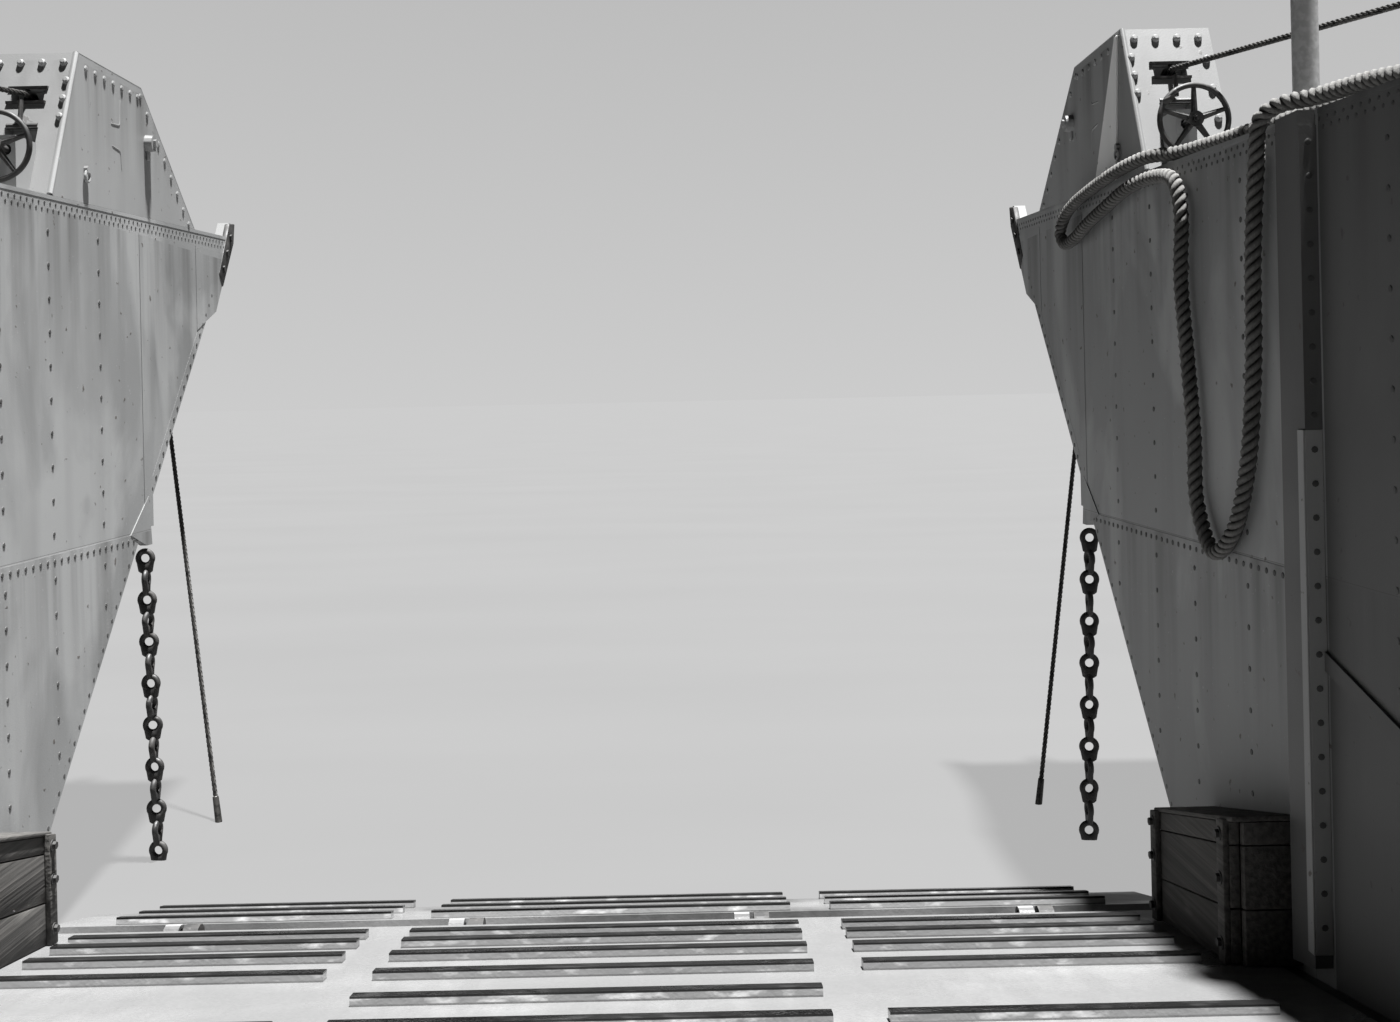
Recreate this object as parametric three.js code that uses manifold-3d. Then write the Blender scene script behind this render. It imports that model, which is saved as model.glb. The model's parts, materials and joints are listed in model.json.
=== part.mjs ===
// A tank landing craft at half size: an open well between two wing tanks, a hinged ramp at the bow,
// and the engine room, deckhouse and bridge at the stern.
// +Y points to the bow, +X to starboard and +Z up. The origin is on the flat bottom, at mid-length.
// Every length below is in metres on the full-size craft; the helpers turn it into model millimetres.
import * as THREE from "three";
import { mergeVertices } from "three/addons/utils/BufferGeometryUtils.js";
import Module from "manifold-3d";

const wasm = await Module();
wasm.setup();

// Scale, and the gap left between pieces that touch
const modelScale = 0.5;
const mm = 1000 * modelScale;
const gap = 0.3 / mm;
const degrees = Math.PI / 180;

// Driving dimensions of the hull
const hullLength = 58.5;
const beam = 9.45;
const strakeDepth = 0.075;
const hullHalf = beam / 2 - strakeDepth;
const wellHalf = 2.7;
const hingeZ = 1.45;
const rakeReach = 3.28;
const rakeRise = 3.57;
const slopeRun = 5.0;
const slopeTan = Math.tan(9.25 * degrees);
const sideDeckZ = 3.95;

// Driving dimensions of the ramp, which hangs from its pin just ahead of the hull
const rampLength = 4.75;
const rampHalf = 2.66;
const rampDrop = 15 * degrees;
const rampTop = 0.05;
const pinAhead = 0.09;
const pinBelow = 0.05;

// Places that follow from them
const rampReach = pinAhead + rampLength * Math.cos(rampDrop) + rampTop * Math.sin(rampDrop);
const hingeY = (hullLength - rakeReach - rampReach) / 2;
const pinY = hingeY + pinAhead;
const pinZ = hingeZ - pinBelow;
const tipY = hingeY + rakeReach;
const tipZ = hingeZ + rakeRise;
const sternY = tipY - hullLength;
const slopeY = hingeY - slopeRun;
const tankDeckZ = hingeZ + slopeRun * slopeTan;
const bowJointY = hingeY - 9;
const middleJointY = 4.0;
const engineWallY = -12.7;
const quarterdeckZ = sideDeckZ + 0.04;

// Paint and bare finishes
const finish = (color, roughness = 0.6, metalness = 0.1) =>
  new THREE.MeshStandardMaterial({ color, roughness, metalness });
const hullPaint = finish(0xa2a5a3);
const deckPaint = finish(0x84888a, 0.7);
const housePaint = finish(0xb4b7b5);
const rampPaint = finish(0x8d9192, 0.55);
const darkIron = finish(0x2b2c2d, 0.6, 0.6);
const wireRope = finish(0x343331, 0.7, 0.5);
const timber = finish(0x4a443c, 0.85, 0);
const bronze = finish(0x9c7a44, 0.4, 0.9);
const engineGrey = finish(0x6f7577, 0.5, 0.4);
const hemp = finish(0x8a8272, 0.95, 0);
const floatCanvas = finish(0x8f9088, 0.9, 0);

// Solids: every helper takes metres and gives a closed solid in millimetres
function solid(geometry) {
  const bare = geometry.index ? geometry.toNonIndexed() : geometry.clone();
  bare.deleteAttribute("normal");
  bare.deleteAttribute("uv");
  const merged = mergeVertices(bare, 1e-3);
  return new wasm.Manifold(
    new wasm.Mesh({
      numProp: 3,
      vertProperties: merged.attributes.position.array,
      triVerts: new Uint32Array(merged.index.array),
    }),
  );
}

function join(...solids) {
  return solids.flat(2).reduce((whole, piece) => whole.add(piece));
}

function cut(whole, ...tools) {
  return tools.flat(2).reduce((left, tool) => left.subtract(tool), whole);
}

function box(x0, x1, y0, y1, z0, z1) {
  const geometry = new THREE.BoxGeometry(
    Math.abs(x1 - x0) * mm,
    Math.abs(y1 - y0) * mm,
    Math.abs(z1 - z0) * mm,
  );
  geometry.translate(((x0 + x1) / 2) * mm, ((y0 + y1) / 2) * mm, ((z0 + z1) / 2) * mm);
  return solid(geometry);
}

function extruded(points, depth, basis) {
  const shape = new THREE.Shape(points.map(([a, b]) => new THREE.Vector2(a * mm, b * mm)));
  const geometry = new THREE.ExtrudeGeometry(shape, { depth: depth * mm, bevelEnabled: false });
  geometry.applyMatrix4(basis);
  return solid(geometry);
}

const alongX = new THREE.Vector3(1, 0, 0);
const alongY = new THREE.Vector3(0, 1, 0);
const alongZ = new THREE.Vector3(0, 0, 1);

// A side view of [y, z] points, carried across the craft from x0 to x1
function sideways(points, x0, x1) {
  const basis = new THREE.Matrix4().makeBasis(alongY, alongZ, alongX);
  basis.setPosition(Math.min(x0, x1) * mm, 0, 0);
  return extruded(points, Math.abs(x1 - x0), basis);
}

// A plan of [x, y] points, carried up from z0 to z1
function upright(points, z0, z1) {
  return extruded(points, z1 - z0, new THREE.Matrix4().setPosition(0, 0, z0 * mm));
}

// A front view of [x, z] points, carried along the craft from y0 to y1
function lengthways(points, y0, y1) {
  const basis = new THREE.Matrix4().makeBasis(alongX, alongZ, alongY.clone().negate());
  basis.setPosition(0, Math.max(y0, y1) * mm, 0);
  return extruded(points, Math.abs(y1 - y0), basis);
}

function rod(from, to, radius, sides = 8, endRadius = radius) {
  const a = new THREE.Vector3(...from).multiplyScalar(mm);
  const b = new THREE.Vector3(...to).multiplyScalar(mm);
  const geometry = new THREE.CylinderGeometry(endRadius * mm, radius * mm, a.distanceTo(b), sides);
  const way = b.clone().sub(a).normalize();
  geometry.applyQuaternion(new THREE.Quaternion().setFromUnitVectors(alongY, way));
  geometry.translate(...a.add(b).multiplyScalar(0.5).toArray());
  return solid(geometry);
}

// Rods from point to point, one after another
function rods(points, radius, sides = 8) {
  return join(points.slice(1).map((to, i) => rod(points[i], to, radius, sides)));
}

// A ring lying across the given axis, stretched along Z by the last value
function ring(centre, axis, radius, tube, around = 16, sides = 6, stretch = 1) {
  const geometry = new THREE.TorusGeometry(radius * mm, tube * mm, sides, around);
  geometry.applyQuaternion(
    new THREE.Quaternion().setFromUnitVectors(alongZ, new THREE.Vector3(...axis).normalize()),
  );
  geometry.scale(1, 1, stretch);
  geometry.translate(...centre.map((v) => v * mm));
  return solid(geometry);
}

const craft = new THREE.Group();

function add(name, shape, material) {
  const made = shape.getMesh();
  const positions = new Float32Array(made.numVert * 3);
  for (let i = 0; i < made.numVert; i++) {
    positions.set(made.vertProperties.subarray(i * made.numProp, i * made.numProp + 3), i * 3);
  }
  const geometry = new THREE.BufferGeometry();
  geometry.setAttribute("position", new THREE.BufferAttribute(positions, 3));
  geometry.setIndex(new THREE.BufferAttribute(made.triVerts, 1));
  const mesh = new THREE.Mesh(geometry, material);
  mesh.name = name;
  craft.add(mesh);
}

const sides = [
  { side: "port", s: -1 },
  { side: "starboard", s: 1 },
];

// The hull's plan: parallel sides, drawn in a little at the bow and rounded at the stern
const halfPlan = [
  { x: 4.2, y: tipY + 0.1 },
  { x: hullHalf, y: tipY - 5 },
  { x: hullHalf, y: sternY + 5.5 },
  { x: 4.4, y: sternY + 2.6 },
  { x: 3.8, y: sternY + 0.8 },
  { x: 3.0, y: sternY },
];
const planPoints = [
  ...halfPlan.map(({ x, y }) => [x, y]),
  ...halfPlan.map(({ x, y }) => [-x, y]).reverse(),
];
const hullPlan = upright(planPoints, -0.1, 7);

// Bottom hull: the swim bow, the flat bottom and the tank deck on top
const sillDepth = 0.38;
const swimRun = 6.2;

function bottomHull() {
  const forward = sideways(
    [
      [hingeY, hingeZ],
      [slopeY, tankDeckZ],
      [middleJointY, tankDeckZ],
      [middleJointY, 0],
      [hingeY - swimRun, 0],
      [hingeY, hingeZ - sillDepth],
    ],
    -hullHalf,
    hullHalf,
  );
  add("bottom_hull_forward", forward.intersect(hullPlan), hullPaint);
  const middle = box(-hullHalf, hullHalf, engineWallY + gap, middleJointY - gap, 0, tankDeckZ);
  add("bottom_hull_middle", middle, hullPaint);
}
bottomHull();

// Stern hull: a shell round the engine room, with a rising counter, skegs, shaft tubes and rudder ports
const counterStartY = -18.5;
const counterKneeY = -23.5;
const counterKneeZ = 1.42;
const transomZ = 1.85;
const shaftX = 1.9;
const shaftZ = 0.72;
const shaftRadius = 0.07;
const shaftHole = 0.09;
const shaftFrontY = -18.6;
const propellerY = -25.7;
const propellerRadius = 0.57;
const stockY = -27.3;
const stockRadius = 0.07;
const stockHole = 0.09;
const stockTopZ = 2.2;
const roomHalf = 3.7;
const roomY0 = -24.3;
const roomY1 = -13.2;
const roomFloorZ = 0.45;

function sternHull() {
  const shell = sideways(
    [
      [engineWallY - gap, 0],
      [engineWallY - gap, sideDeckZ - gap],
      [sternY, sideDeckZ - gap],
      [sternY, transomZ],
      [counterKneeY, counterKneeZ],
      [counterStartY, 0],
    ],
    -hullHalf,
    hullHalf,
  ).intersect(hullPlan);
  const room = sideways(
    [
      [roomY1, roomFloorZ],
      [roomY1, sideDeckZ + 1],
      [roomY0, sideDeckZ + 1],
      [roomY0, counterKneeZ + 0.45],
      [counterStartY - 0.6, roomFloorZ],
    ],
    -roomHalf,
    roomHalf,
  );
  const carriers = [-shaftX, shaftX].flatMap((x) => [
    sideways(
      [
        [counterStartY, 0],
        [counterStartY + 1, 0.3],
        [counterKneeY + 0.6, counterKneeZ + 0.1],
        [counterKneeY + 0.6, 1.0],
        [counterStartY - 3.4, 0],
      ],
      x - 0.06,
      x + 0.06,
    ),
    rod([x, counterStartY - 1, shaftZ], [x, counterKneeY - 0.2, shaftZ], 0.16, 10),
    rod([x, propellerY + 0.65, shaftZ], [x, propellerY + 0.3, shaftZ], 0.16, 10),
    ...[-1, 1].map((t) =>
      rod([x + t * 0.1, propellerY + 0.48, shaftZ + 0.08], [x + t * 0.5, propellerY + 0.5, 1.75], 0.045, 6),
    ),
  ]);
  const bores = [-shaftX, shaftX].flatMap((x) => [
    rod([x, shaftFrontY, shaftZ], [x, sternY, shaftZ], shaftHole, 12),
    rod([x, stockY, 1], [x, stockY, stockTopZ + 0.05], stockHole, 12),
  ]);
  add("stern_hull", cut(join(shell, carriers), room, bores), hullPaint);
}
sternHull();

function engines() {
  for (const { side, s } of sides) {
    const x = s * shaftX;
    const seatZ = roomFloorZ + gap;
    const block = box(x - 0.55, x + 0.55, -18.2, -14.6, seatZ, seatZ + 1.5);
    add(`engine_${side}`, block, engineGrey);
  }
}
engines();

// Wing tanks: the bow pair carry the raked faces that the ramp closes between
const wallTopHingeZ = hingeZ + 3.45;
const wingTop = [
  { y: tipY, z: tipZ },
  { y: hingeY, z: wallTopHingeZ },
  { y: hingeY - 2.6, z: wallTopHingeZ - 0.1 },
  { y: hingeY - 6.6, z: sideDeckZ + 0.35 },
  { y: bowJointY, z: sideDeckZ },
];

function wingTopZ(y) {
  const i = wingTop.findIndex((point, n) => n > 0 && y >= point.y);
  const [fore, aft] = [wingTop[i - 1], wingTop[i]];
  return aft.z + ((fore.z - aft.z) * (y - aft.y)) / (fore.y - aft.y);
}

const pillar = { y: hingeY - 1.15, along: 0.19, depth: 0.065, foot: hingeZ + 0.25, belowTop: 0.055 };
const chainX = 2.715;
const chainY = hingeY + 1.65;
const chainTopZ = hingeZ + 1.6;

// A pair of mooring posts on a base plate, set lengthways
const mooringX = 3.1;
const mooringY = hingeY - 2.5;
const bollardRadius = 0.1;
const bollardHeight = 0.42;
const bollardStep = 0.28;
const bollardCap = { radius: 0.13, thick: 0.05 };
const bollardBase = { half: 0.18, reach: 0.5, thick: 0.04 };
const sunk = 0.05;

function bollards(x, y, z) {
  const top = z + bollardHeight;
  const posts = [-bollardStep, bollardStep].flatMap((step) => [
    rod([x, y + step, z - sunk], [x, y + step, top], bollardRadius, 10),
    rod([x, y + step, top], [x, y + step, top + bollardCap.thick], bollardCap.radius, 10),
  ]);
  const { half, reach, thick } = bollardBase;
  return [box(x - half, x + half, y - reach, y + reach, z - 0.08, z + thick), ...posts];
}

function bowWings() {
  const profile = [
    [hingeY, hingeZ + gap],
    ...wingTop.map(({ y, z }) => [y, z]),
    [bowJointY, tankDeckZ + gap],
    [slopeY, tankDeckZ + gap],
  ];
  for (const { side, s } of sides) {
    const tank = sideways(profile, s * wellHalf, s * hullHalf).intersect(hullPlan);
    const closingLug = sideways(
      [
        [tipY - 0.33, tipZ - 0.3],
        [tipY - 0.04, tipZ + 0.1],
        [tipY + 0.08, tipZ + 0.1],
        [tipY - 0.24, tipZ - 0.38],
      ],
      s * (wellHalf + 0.005),
      s * (wellHalf + 0.08),
    );
    const chainPad = sideways(
      [
        [chainY - 0.25, chainTopZ + 0.1],
        [chainY + 0.02, chainTopZ + 0.3],
        [chainY + 0.06, chainTopZ + 0.02],
        [chainY - 0.02, chainTopZ + 0.02],
      ],
      s * (chainX - 0.02),
      s * (chainX + 0.02),
    );
    const mooring = bollards(s * mooringX, mooringY, wingTopZ(mooringY));
    add(`bow_wing_${side}`, join(tank, closingLug, chainPad, mooring), hullPaint);
  }
}
bowWings();

// Pillars: a flat post on the inner wall, and beside it a round post that stands above the wing
const sidePost = { x: 3.03, behind: 0.54, radius: 0.052, height: 2.4, plate: 0.14, plateThick: 0.03 };

function bowPillars() {
  for (const { side, s } of sides) {
    const innerX = s * (wellHalf - gap);
    const { y: fore, along, depth, foot: pillarFoot, belowTop } = pillar;
    const top = wallTopHingeZ - belowTop;
    const flat = sideways(
      [
        [fore, pillarFoot],
        [fore, top],
        [fore - along, top],
        [fore - along, pillarFoot + 0.04],
      ],
      s * (wellHalf - depth),
      innerX,
    );
    add(`wall_pillar_${side}`, flat, hullPaint);
    const { radius, height, plate, plateThick } = sidePost;
    const x = s * sidePost.x;
    const y = hingeY - sidePost.behind;
    const foot = wingTopZ(y + plate) + gap;
    const head = foot + height;
    const standing = join(
      box(x - plate, x + plate, y - plate, y + plate, foot, foot + plateThick),
      rod([x, y, foot], [x, y, head], radius, 10),
      rod([x, y, head], [x, y, head + 0.05], radius * 1.4, 10),
    );
    add(`side_post_${side}`, standing, hullPaint);
  }
}
bowPillars();

// Side wings: tank, coaming along the well, rubbing strake, mooring posts and ventilators
const coamingHeight = 0.5;
const strakeZ = sideDeckZ - 0.35;
const bollardPlaces = [12.5, 1.5, -9.5];
const ventPlaces = [9.4, -1.4, -6.4];
const hatchPlaces = [14.6, 6.2, -4.2, -11.4];
const storeHatch = { x: 3.62, half: 0.34, reach: 0.42, height: 0.2, lid: 0.05, lap: 0.04 };

const vent = { trunk: 0.12, hood: 0.24, crown: 0.1, hoodZ: 0.6, crownZ: 0.7, topZ: 0.78 };

function ventilator(x, y, z) {
  const at = (height) => [x, y, z + height];
  return [
    rod(at(-sunk), at(vent.hoodZ), vent.trunk, 10),
    rod(at(vent.hoodZ), at(vent.crownZ), vent.hood, 12),
    rod(at(vent.crownZ), at(vent.topZ), vent.hood, 12, vent.crown),
  ];
}

// A store hatch: a square coaming with a lid that laps over it
function storeHatchAt(x, y, z) {
  const { half, reach, height, lid, lap } = storeHatch;
  const [wide, long, top] = [half + lap, reach + lap, z + height + lid];
  return [
    box(x - half, x + half, y - reach, y + reach, z - sunk, z + height),
    box(x - wide, x + wide, y - long, y + long, z + height - 0.06, top),
  ];
}

function sideWings() {
  const [y0, y1] = [engineWallY + gap, bowJointY - gap];
  for (const { side, s } of sides) {
    const tank = box(s * wellHalf, s * hullHalf, y0, y1, tankDeckZ + gap, sideDeckZ);
    const coamingTop = sideDeckZ + coamingHeight;
    const coaming = box(s * wellHalf, s * (wellHalf + 0.05), y0, y1, sideDeckZ - 0.1, coamingTop);
    const strake = box(s * (hullHalf - 0.05), (s * beam) / 2, y0, y1, strakeZ - 0.09, strakeZ + 0.09);
    const fittings = [
      ...bollardPlaces.map((y) => bollards(s * 4.1, y, sideDeckZ)),
      ...ventPlaces.map((y) => ventilator(s * 3.4, y, sideDeckZ)),
      ...hatchPlaces.map((y) => storeHatchAt(s * storeHatch.x, y, sideDeckZ)),
    ];
    add(`side_wing_${side}`, join(tank, coaming, strake, ...fittings), hullPaint);
  }
}
sideWings();

// Cross bars in three tracks, which give grip to the tracks of what drives over them
const barPitch = 0.28;
const barHeight = 0.035;
const barWidth = 0.06;
const deckPlate = 0.02;
const trackBands = [
  { x0: -2.34, x1: -1.04 },
  { x0: -0.85, x1: 0.85 },
  { x0: 1.04, x1: 2.34 },
];

// Bars on a plate that runs from (y, z) at the given slope, each starting at its place along it
function crossBars(places, originY, originZ, slope, top, bands = trackBands) {
  const place = (along, above) => [
    originY + along * Math.cos(slope) - above * Math.sin(slope),
    originZ + along * Math.sin(slope) + above * Math.cos(slope),
  ];
  return bands.flatMap(({ x0, x1 }) =>
    places.map((along) => {
      const corners = [
        place(along, top - 0.01),
        place(along + barWidth, top - 0.01),
        place(along + barWidth, top + barHeight),
        place(along, top + barHeight),
      ];
      return sideways(corners, x0, x1);
    }),
  );
}

// Rows of the sloping deck, aft of the hinge line. The side tracks have lost their bar in one row
const nearRows = [0.24, 0.415, 0.66, 0.96];
const middleRow = 1.325;
const farRows = [1.675, 2.015, 2.355, 2.695, 3.035, 3.375, 3.715, 4.055, 4.395, 4.735];

function bowDeck() {
  const slope = -Math.atan(slopeTan);
  const footY = slopeY + 0.05;
  const footZ = tankDeckZ - 0.05 * slopeTan + gap * 1.2;
  const length = (slopeRun - 0.08) / Math.cos(slope);
  const end = [footY + length * Math.cos(slope), footZ + length * Math.sin(slope)];
  const half = wellHalf - pillar.depth - 0.02;
  const plate = sideways(
    [
      [footY, footZ],
      end,
      [end[0], end[1] + deckPlate],
      [footY, footZ + deckPlate],
    ],
    -half,
    half,
  );
  const along = (row) => (hingeY - row - barWidth - footY) / Math.cos(slope);
  const rows = [...nearRows, ...farRows].map(along);
  const bars = crossBars(rows, footY, footZ, slope, deckPlate);
  const middleBar = crossBars([along(middleRow)], footY, footZ, slope, deckPlate, [trackBands[1]]);
  add("bow_deck", join(plate, bars, middleBar), deckPaint);
}
bowDeck();

// Tank deck: the level plate of the well, between the wings
function tankDeck() {
  const half = wellHalf - 0.01;
  const [z0, z1] = [tankDeckZ + gap, tankDeckZ + deckPlate];
  add("tank_deck", box(-half, half, engineWallY + gap, slopeY - 0.02, z0, z1), deckPaint);
}
tankDeck();

// Ramp: a tapered box of plate with cross bars, hinge barrels, edge notches for the wires and eye lugs
const barrelRadius = 0.06;
const pinRadius = 0.028;
const pinHole = 0.042;
const barrelPlaces = [-1.975, -0.66, 0.66, 1.975];
const barrelWidth = 0.08;
const barrelPlay = 0.01;
const noseLength = 0.2;
const edgeNotches = [
  { from: 1.42, to: 2.2, x: 2.57 },
  { from: 2.12, to: 2.7, x: 2.42 },
];

function rampPoint(along, above) {
  return [
    pinY + along * Math.cos(rampDrop) + above * Math.sin(rampDrop),
    pinZ - along * Math.sin(rampDrop) + above * Math.cos(rampDrop),
  ];
}

function ramp() {
  const body = sideways(
    [
      rampPoint(0.08, rampTop),
      rampPoint(rampLength, rampTop),
      rampPoint(rampLength, -0.03),
      rampPoint(rampLength - noseLength, -0.08),
      rampPoint(0.6, -0.24),
      rampPoint(0.14, -0.24),
      rampPoint(0.08, -0.16),
    ],
    -rampHalf,
    rampHalf,
  );
  const barrels = barrelPlaces.flatMap((x) => [
    rod([x - barrelPlay, pinY, pinZ], [x - barrelWidth, pinY, pinZ], barrelRadius, 12),
    sideways(
      [rampPoint(0, 0.02), rampPoint(0.12, 0.02), rampPoint(0.12, -0.05), rampPoint(0, -0.05)],
      x - barrelPlay,
      x - barrelWidth,
    ),
  ]);
  const pinBore = rod([-3, pinY, pinZ], [3, pinY, pinZ], pinHole, 12);
  const notches = [-1, 1].flatMap((s) =>
    edgeNotches.map(({ from, to, x }) =>
      sideways([rampPoint(from, 1), rampPoint(to, 1), rampPoint(to, -1), rampPoint(from, -1)], s * x, s * 3),
    ),
  );
  const eyes = [-1, 1].flatMap((s) => [
    sideways(
      [rampPoint(2.2, 0), rampPoint(2.6, 0), rampPoint(2.48, 0.14), rampPoint(2.32, 0.14)],
      s * 2.36,
      s * 2.4,
    ),
  ]);
  const rows = Array.from({ length: 16 }, (_, i) => 0.12 + i * barPitch);
  const bars = crossBars(rows, pinY, pinZ, -rampDrop, rampTop);
  add("ramp", cut(join(body, barrels, eyes, bars), pinBore, notches), rampPaint);
}
ramp();

// Hinge pin with the sill's own barrels between those of the ramp
function rampHinge() {
  const sillBarrels = barrelPlaces.map((x) => {
    const [x0, x1] = [x + barrelPlay, x + barrelWidth];
    return join(
      rod([x0, pinY, pinZ], [x1, pinY, pinZ], barrelRadius, 12),
      box(x0, x1, hingeY + gap, pinY, pinZ - 0.05, pinZ + 0.02),
    );
  });
  const pin = rod([-2.62, pinY, pinZ], [2.62, pinY, pinZ], pinRadius, 10);
  add("ramp_hinge", join(pin, sillBarrels), darkIron);
}
rampHinge();

// Ramp gear on the wing tops. The winch house, with the wire's way through it
const houseWidth = 0.46;
const houseTopZ = hingeZ + 4.26;
const slotX = 2.92;
const slot = { y: hingeY + 0.72, z: hingeZ + 4.02 };
const headSheave = { x: 3.36, y: hingeY + 3.27, z: hingeZ + 3.8, radius: 0.13 };
const wireRadius = 0.0145;
const eyeEnd = { x: 2.52, y: hingeY + 2.3, z: hingeZ - 0.42 };
const drumY = hingeY - 3.6;
const drumX = 3.9;
const drumZ = wingTopZ(drumY) + 0.3;
const drumRadius = 0.15;
const wheelX = 2.87;
const wheelY = hingeY + 0.3;
const wheelZ = hingeZ + 3.68;
const wheelRadius = 0.165;
const spindleRadius = 0.018;

// The wire's points from the winch drum, through the house and over the head sheave, to the ramp's eye
const sheaveArc = [92, 66, 40, 13, -13].map((angle) => angle * degrees);

function wirePoints(s) {
  const around = headSheave.radius + wireRadius + 0.004;
  return [
    [s * drumX, drumY + 0.02, drumZ + drumRadius + 0.02],
    [s * slotX, slot.y, slot.z],
    ...sheaveArc.map((a) => [
      s * headSheave.x,
      headSheave.y + around * Math.cos(a),
      headSheave.z + around * Math.sin(a),
    ]),
    [s * eyeEnd.x, eyeEnd.y, eyeEnd.z],
  ];
}

function winchHouses() {
  for (const { side, s } of sides) {
    const foot = (y) => wingTopZ(y) + gap;
    const [y0, y1] = [hingeY + 0.52, hingeY + 2.55];
    const hull = sideways(
      [
        [y0, foot(y0)],
        [y1, foot(y1)],
        [hingeY + 1.7, houseTopZ],
        [hingeY + 0.86, houseTopZ],
      ],
      s * wellHalf,
      s * (wellHalf + houseWidth),
    );
    const [bracketX0, bracketX1] = [s * (wheelX - 0.05), s * (wheelX + 0.05)];
    const bracket = box(bracketX0, bracketX1, wheelY + 0.1, y0 + 0.1, foot(y0 + 0.12), wheelZ + 0.07);
    const spindleBore = rod([s * wheelX, wheelY, wheelZ], [s * wheelX, y0 + 0.3, wheelZ], 0.03, 10);
    const [, atSlot, atSheave] = wirePoints(s);
    const wireBore = rod(atSlot, atSheave, 0.04, 8);
    const [x0, x1] = [s * (slotX - 0.085), s * (slotX + 0.085)];
    const slotPocket = box(x0, x1, y0, slot.y + 0.12, slot.z - 0.03, slot.z + 0.03);
    const lowPocket = box(x0, x1, y0, slot.y + 0.06, slot.z - 0.28, slot.z - 0.18);
    const shape = cut(join(hull, bracket), wireBore, slotPocket, lowPocket, spindleBore);
    add(`winch_house_${side}`, shape, housePaint);
  }
}
winchHouses();

function handWheels() {
  for (const { side, s } of sides) {
    const centre = [s * wheelX, wheelY, wheelZ];
    const spokes = Array.from({ length: 5 }, (_, i) => {
      const turn = (i / 5) * 2 * Math.PI + Math.PI / 2;
      const [across, up] = [Math.cos(turn) * wheelRadius, Math.sin(turn) * wheelRadius];
      return rod(centre, [centre[0] + across, wheelY, centre[2] + up], 0.01, 6);
    });
    const hub = rod([centre[0], wheelY - 0.025, wheelZ], [centre[0], wheelY + 0.03, wheelZ], 0.035, 10);
    const spindle = rod([centre[0], wheelY, wheelZ], [centre[0], wheelY + 0.3, wheelZ], spindleRadius, 8);
    const rim = ring(centre, [0, 1, 0], wheelRadius, 0.014, 24, 6);
    add(`hand_wheel_${side}`, join(rim, hub, spindle, spokes), darkIron);
  }
}
handWheels();

function headSheaves() {
  for (const { side, s } of sides) {
    const { x, y, z, radius } = headSheave;
    const foot = wingTopZ(y - 0.02) + gap + 0.006;
    const cheeks = [-0.075, 0.05].map((step) =>
      box(s * x + step, s * x + step + 0.025, y - 0.14, y + 0.01, foot, z + 0.05),
    );
    const base = box(s * x - 0.09, s * x + 0.09, y - 0.2, y + 0.02, foot, foot + 0.03);
    const wheel = rod([s * x - 0.035, y, z], [s * x + 0.035, y, z], radius - 0.002, 16);
    const axle = rod([s * x - 0.09, y, z], [s * x + 0.09, y, z], 0.03, 8);
    add(`head_sheave_${side}`, join(base, cheeks, wheel, axle), darkIron);
  }
}
headSheaves();

function liftWires() {
  for (const { side, s } of sides) {
    const points = wirePoints(s);
    const [from, end] = points.slice(-2).map((point) => new THREE.Vector3(...point));
    const splice = end.clone().lerp(from, 0.09);
    const thimble = rod(end.toArray(), splice.toArray(), 0.032, 8, 0.018);
    add(`lift_wire_${side}`, join(rods(points, wireRadius, 6), thimble), wireRope);
  }
}
liftWires();

// Ramp winches: a drum between two cheeks, with its gear case
function rampWinches() {
  for (const { side, s } of sides) {
    const foot = wingTopZ(drumY) + 0.05 + gap;
    const base = box(s * drumX - 0.5, s * drumX + 0.5, drumY - 0.42, drumY + 0.38, foot, foot + 0.04);
    const cheeks = [-0.36, 0.32].map((step) =>
      sideways(
        [
          [drumY - 0.32, foot],
          [drumY - 0.12, drumZ + 0.14],
          [drumY + 0.12, drumZ + 0.14],
          [drumY + 0.32, foot],
        ],
        s * drumX + step,
        s * drumX + step + 0.04,
      ),
    );
    const drum = rod([s * drumX - 0.4, drumY, drumZ], [s * drumX + 0.4, drumY, drumZ], drumRadius, 14);
    const gearX = s * drumX + s * 0.4;
    const gearCase = box(gearX, gearX + s * 0.2, drumY - 0.25, drumY + 0.25, foot, drumZ + 0.2);
    add(`ramp_winch_${side}`, join(base, cheeks, drum, gearCase), darkIron);
  }
}
rampWinches();

// Stay chains: stud links that hold the ramp at its lowest, and hang a little inboard at their feet
const linkPitch = 0.12;
const linkCount = 17;
const linkDrift = 0.0028;

function stayChains() {
  for (const { side, s } of sides) {
    const links = Array.from({ length: linkCount }, (_, i) => {
      const centre = [s * (chainX - i * linkDrift), chainY, chainTopZ - 0.09 - gap - i * linkPitch];
      const axis = i % 2 ? [1, 0, 0] : [0, 1, 0];
      return ring(centre, axis, 0.04, 0.0165, 8, 4, 1.72);
    });
    add(`stay_chain_${side}`, join(links), darkIron);
  }
}
stayChains();

// Timber boxes on the deck against the walls, a little higher aft than at the hinge
const timberBox = { width: 0.26, aft: 1.1, fore: 0.22, aftHeight: 0.57, foreHeight: 0.49 };

function timberBoxes() {
  for (const { side, s } of sides) {
    const deck = (y) => hingeZ + (hingeY - y) * slopeTan + deckPlate + 2 * gap + 0.002;
    const { width, aft, fore, aftHeight, foreHeight } = timberBox;
    const [y0, y1] = [hingeY - aft, hingeY - fore];
    const shape = sideways(
      [
        [y0, deck(y0)],
        [y1, deck(y1)],
        [y1, deck(y1) + foreHeight],
        [y0, deck(y0) + aftHeight],
      ],
      s * (wellHalf - gap),
      s * (wellHalf - width),
    );
    add(`timber_box_${side}`, shape, timber);
  }
}
timberBoxes();

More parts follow.
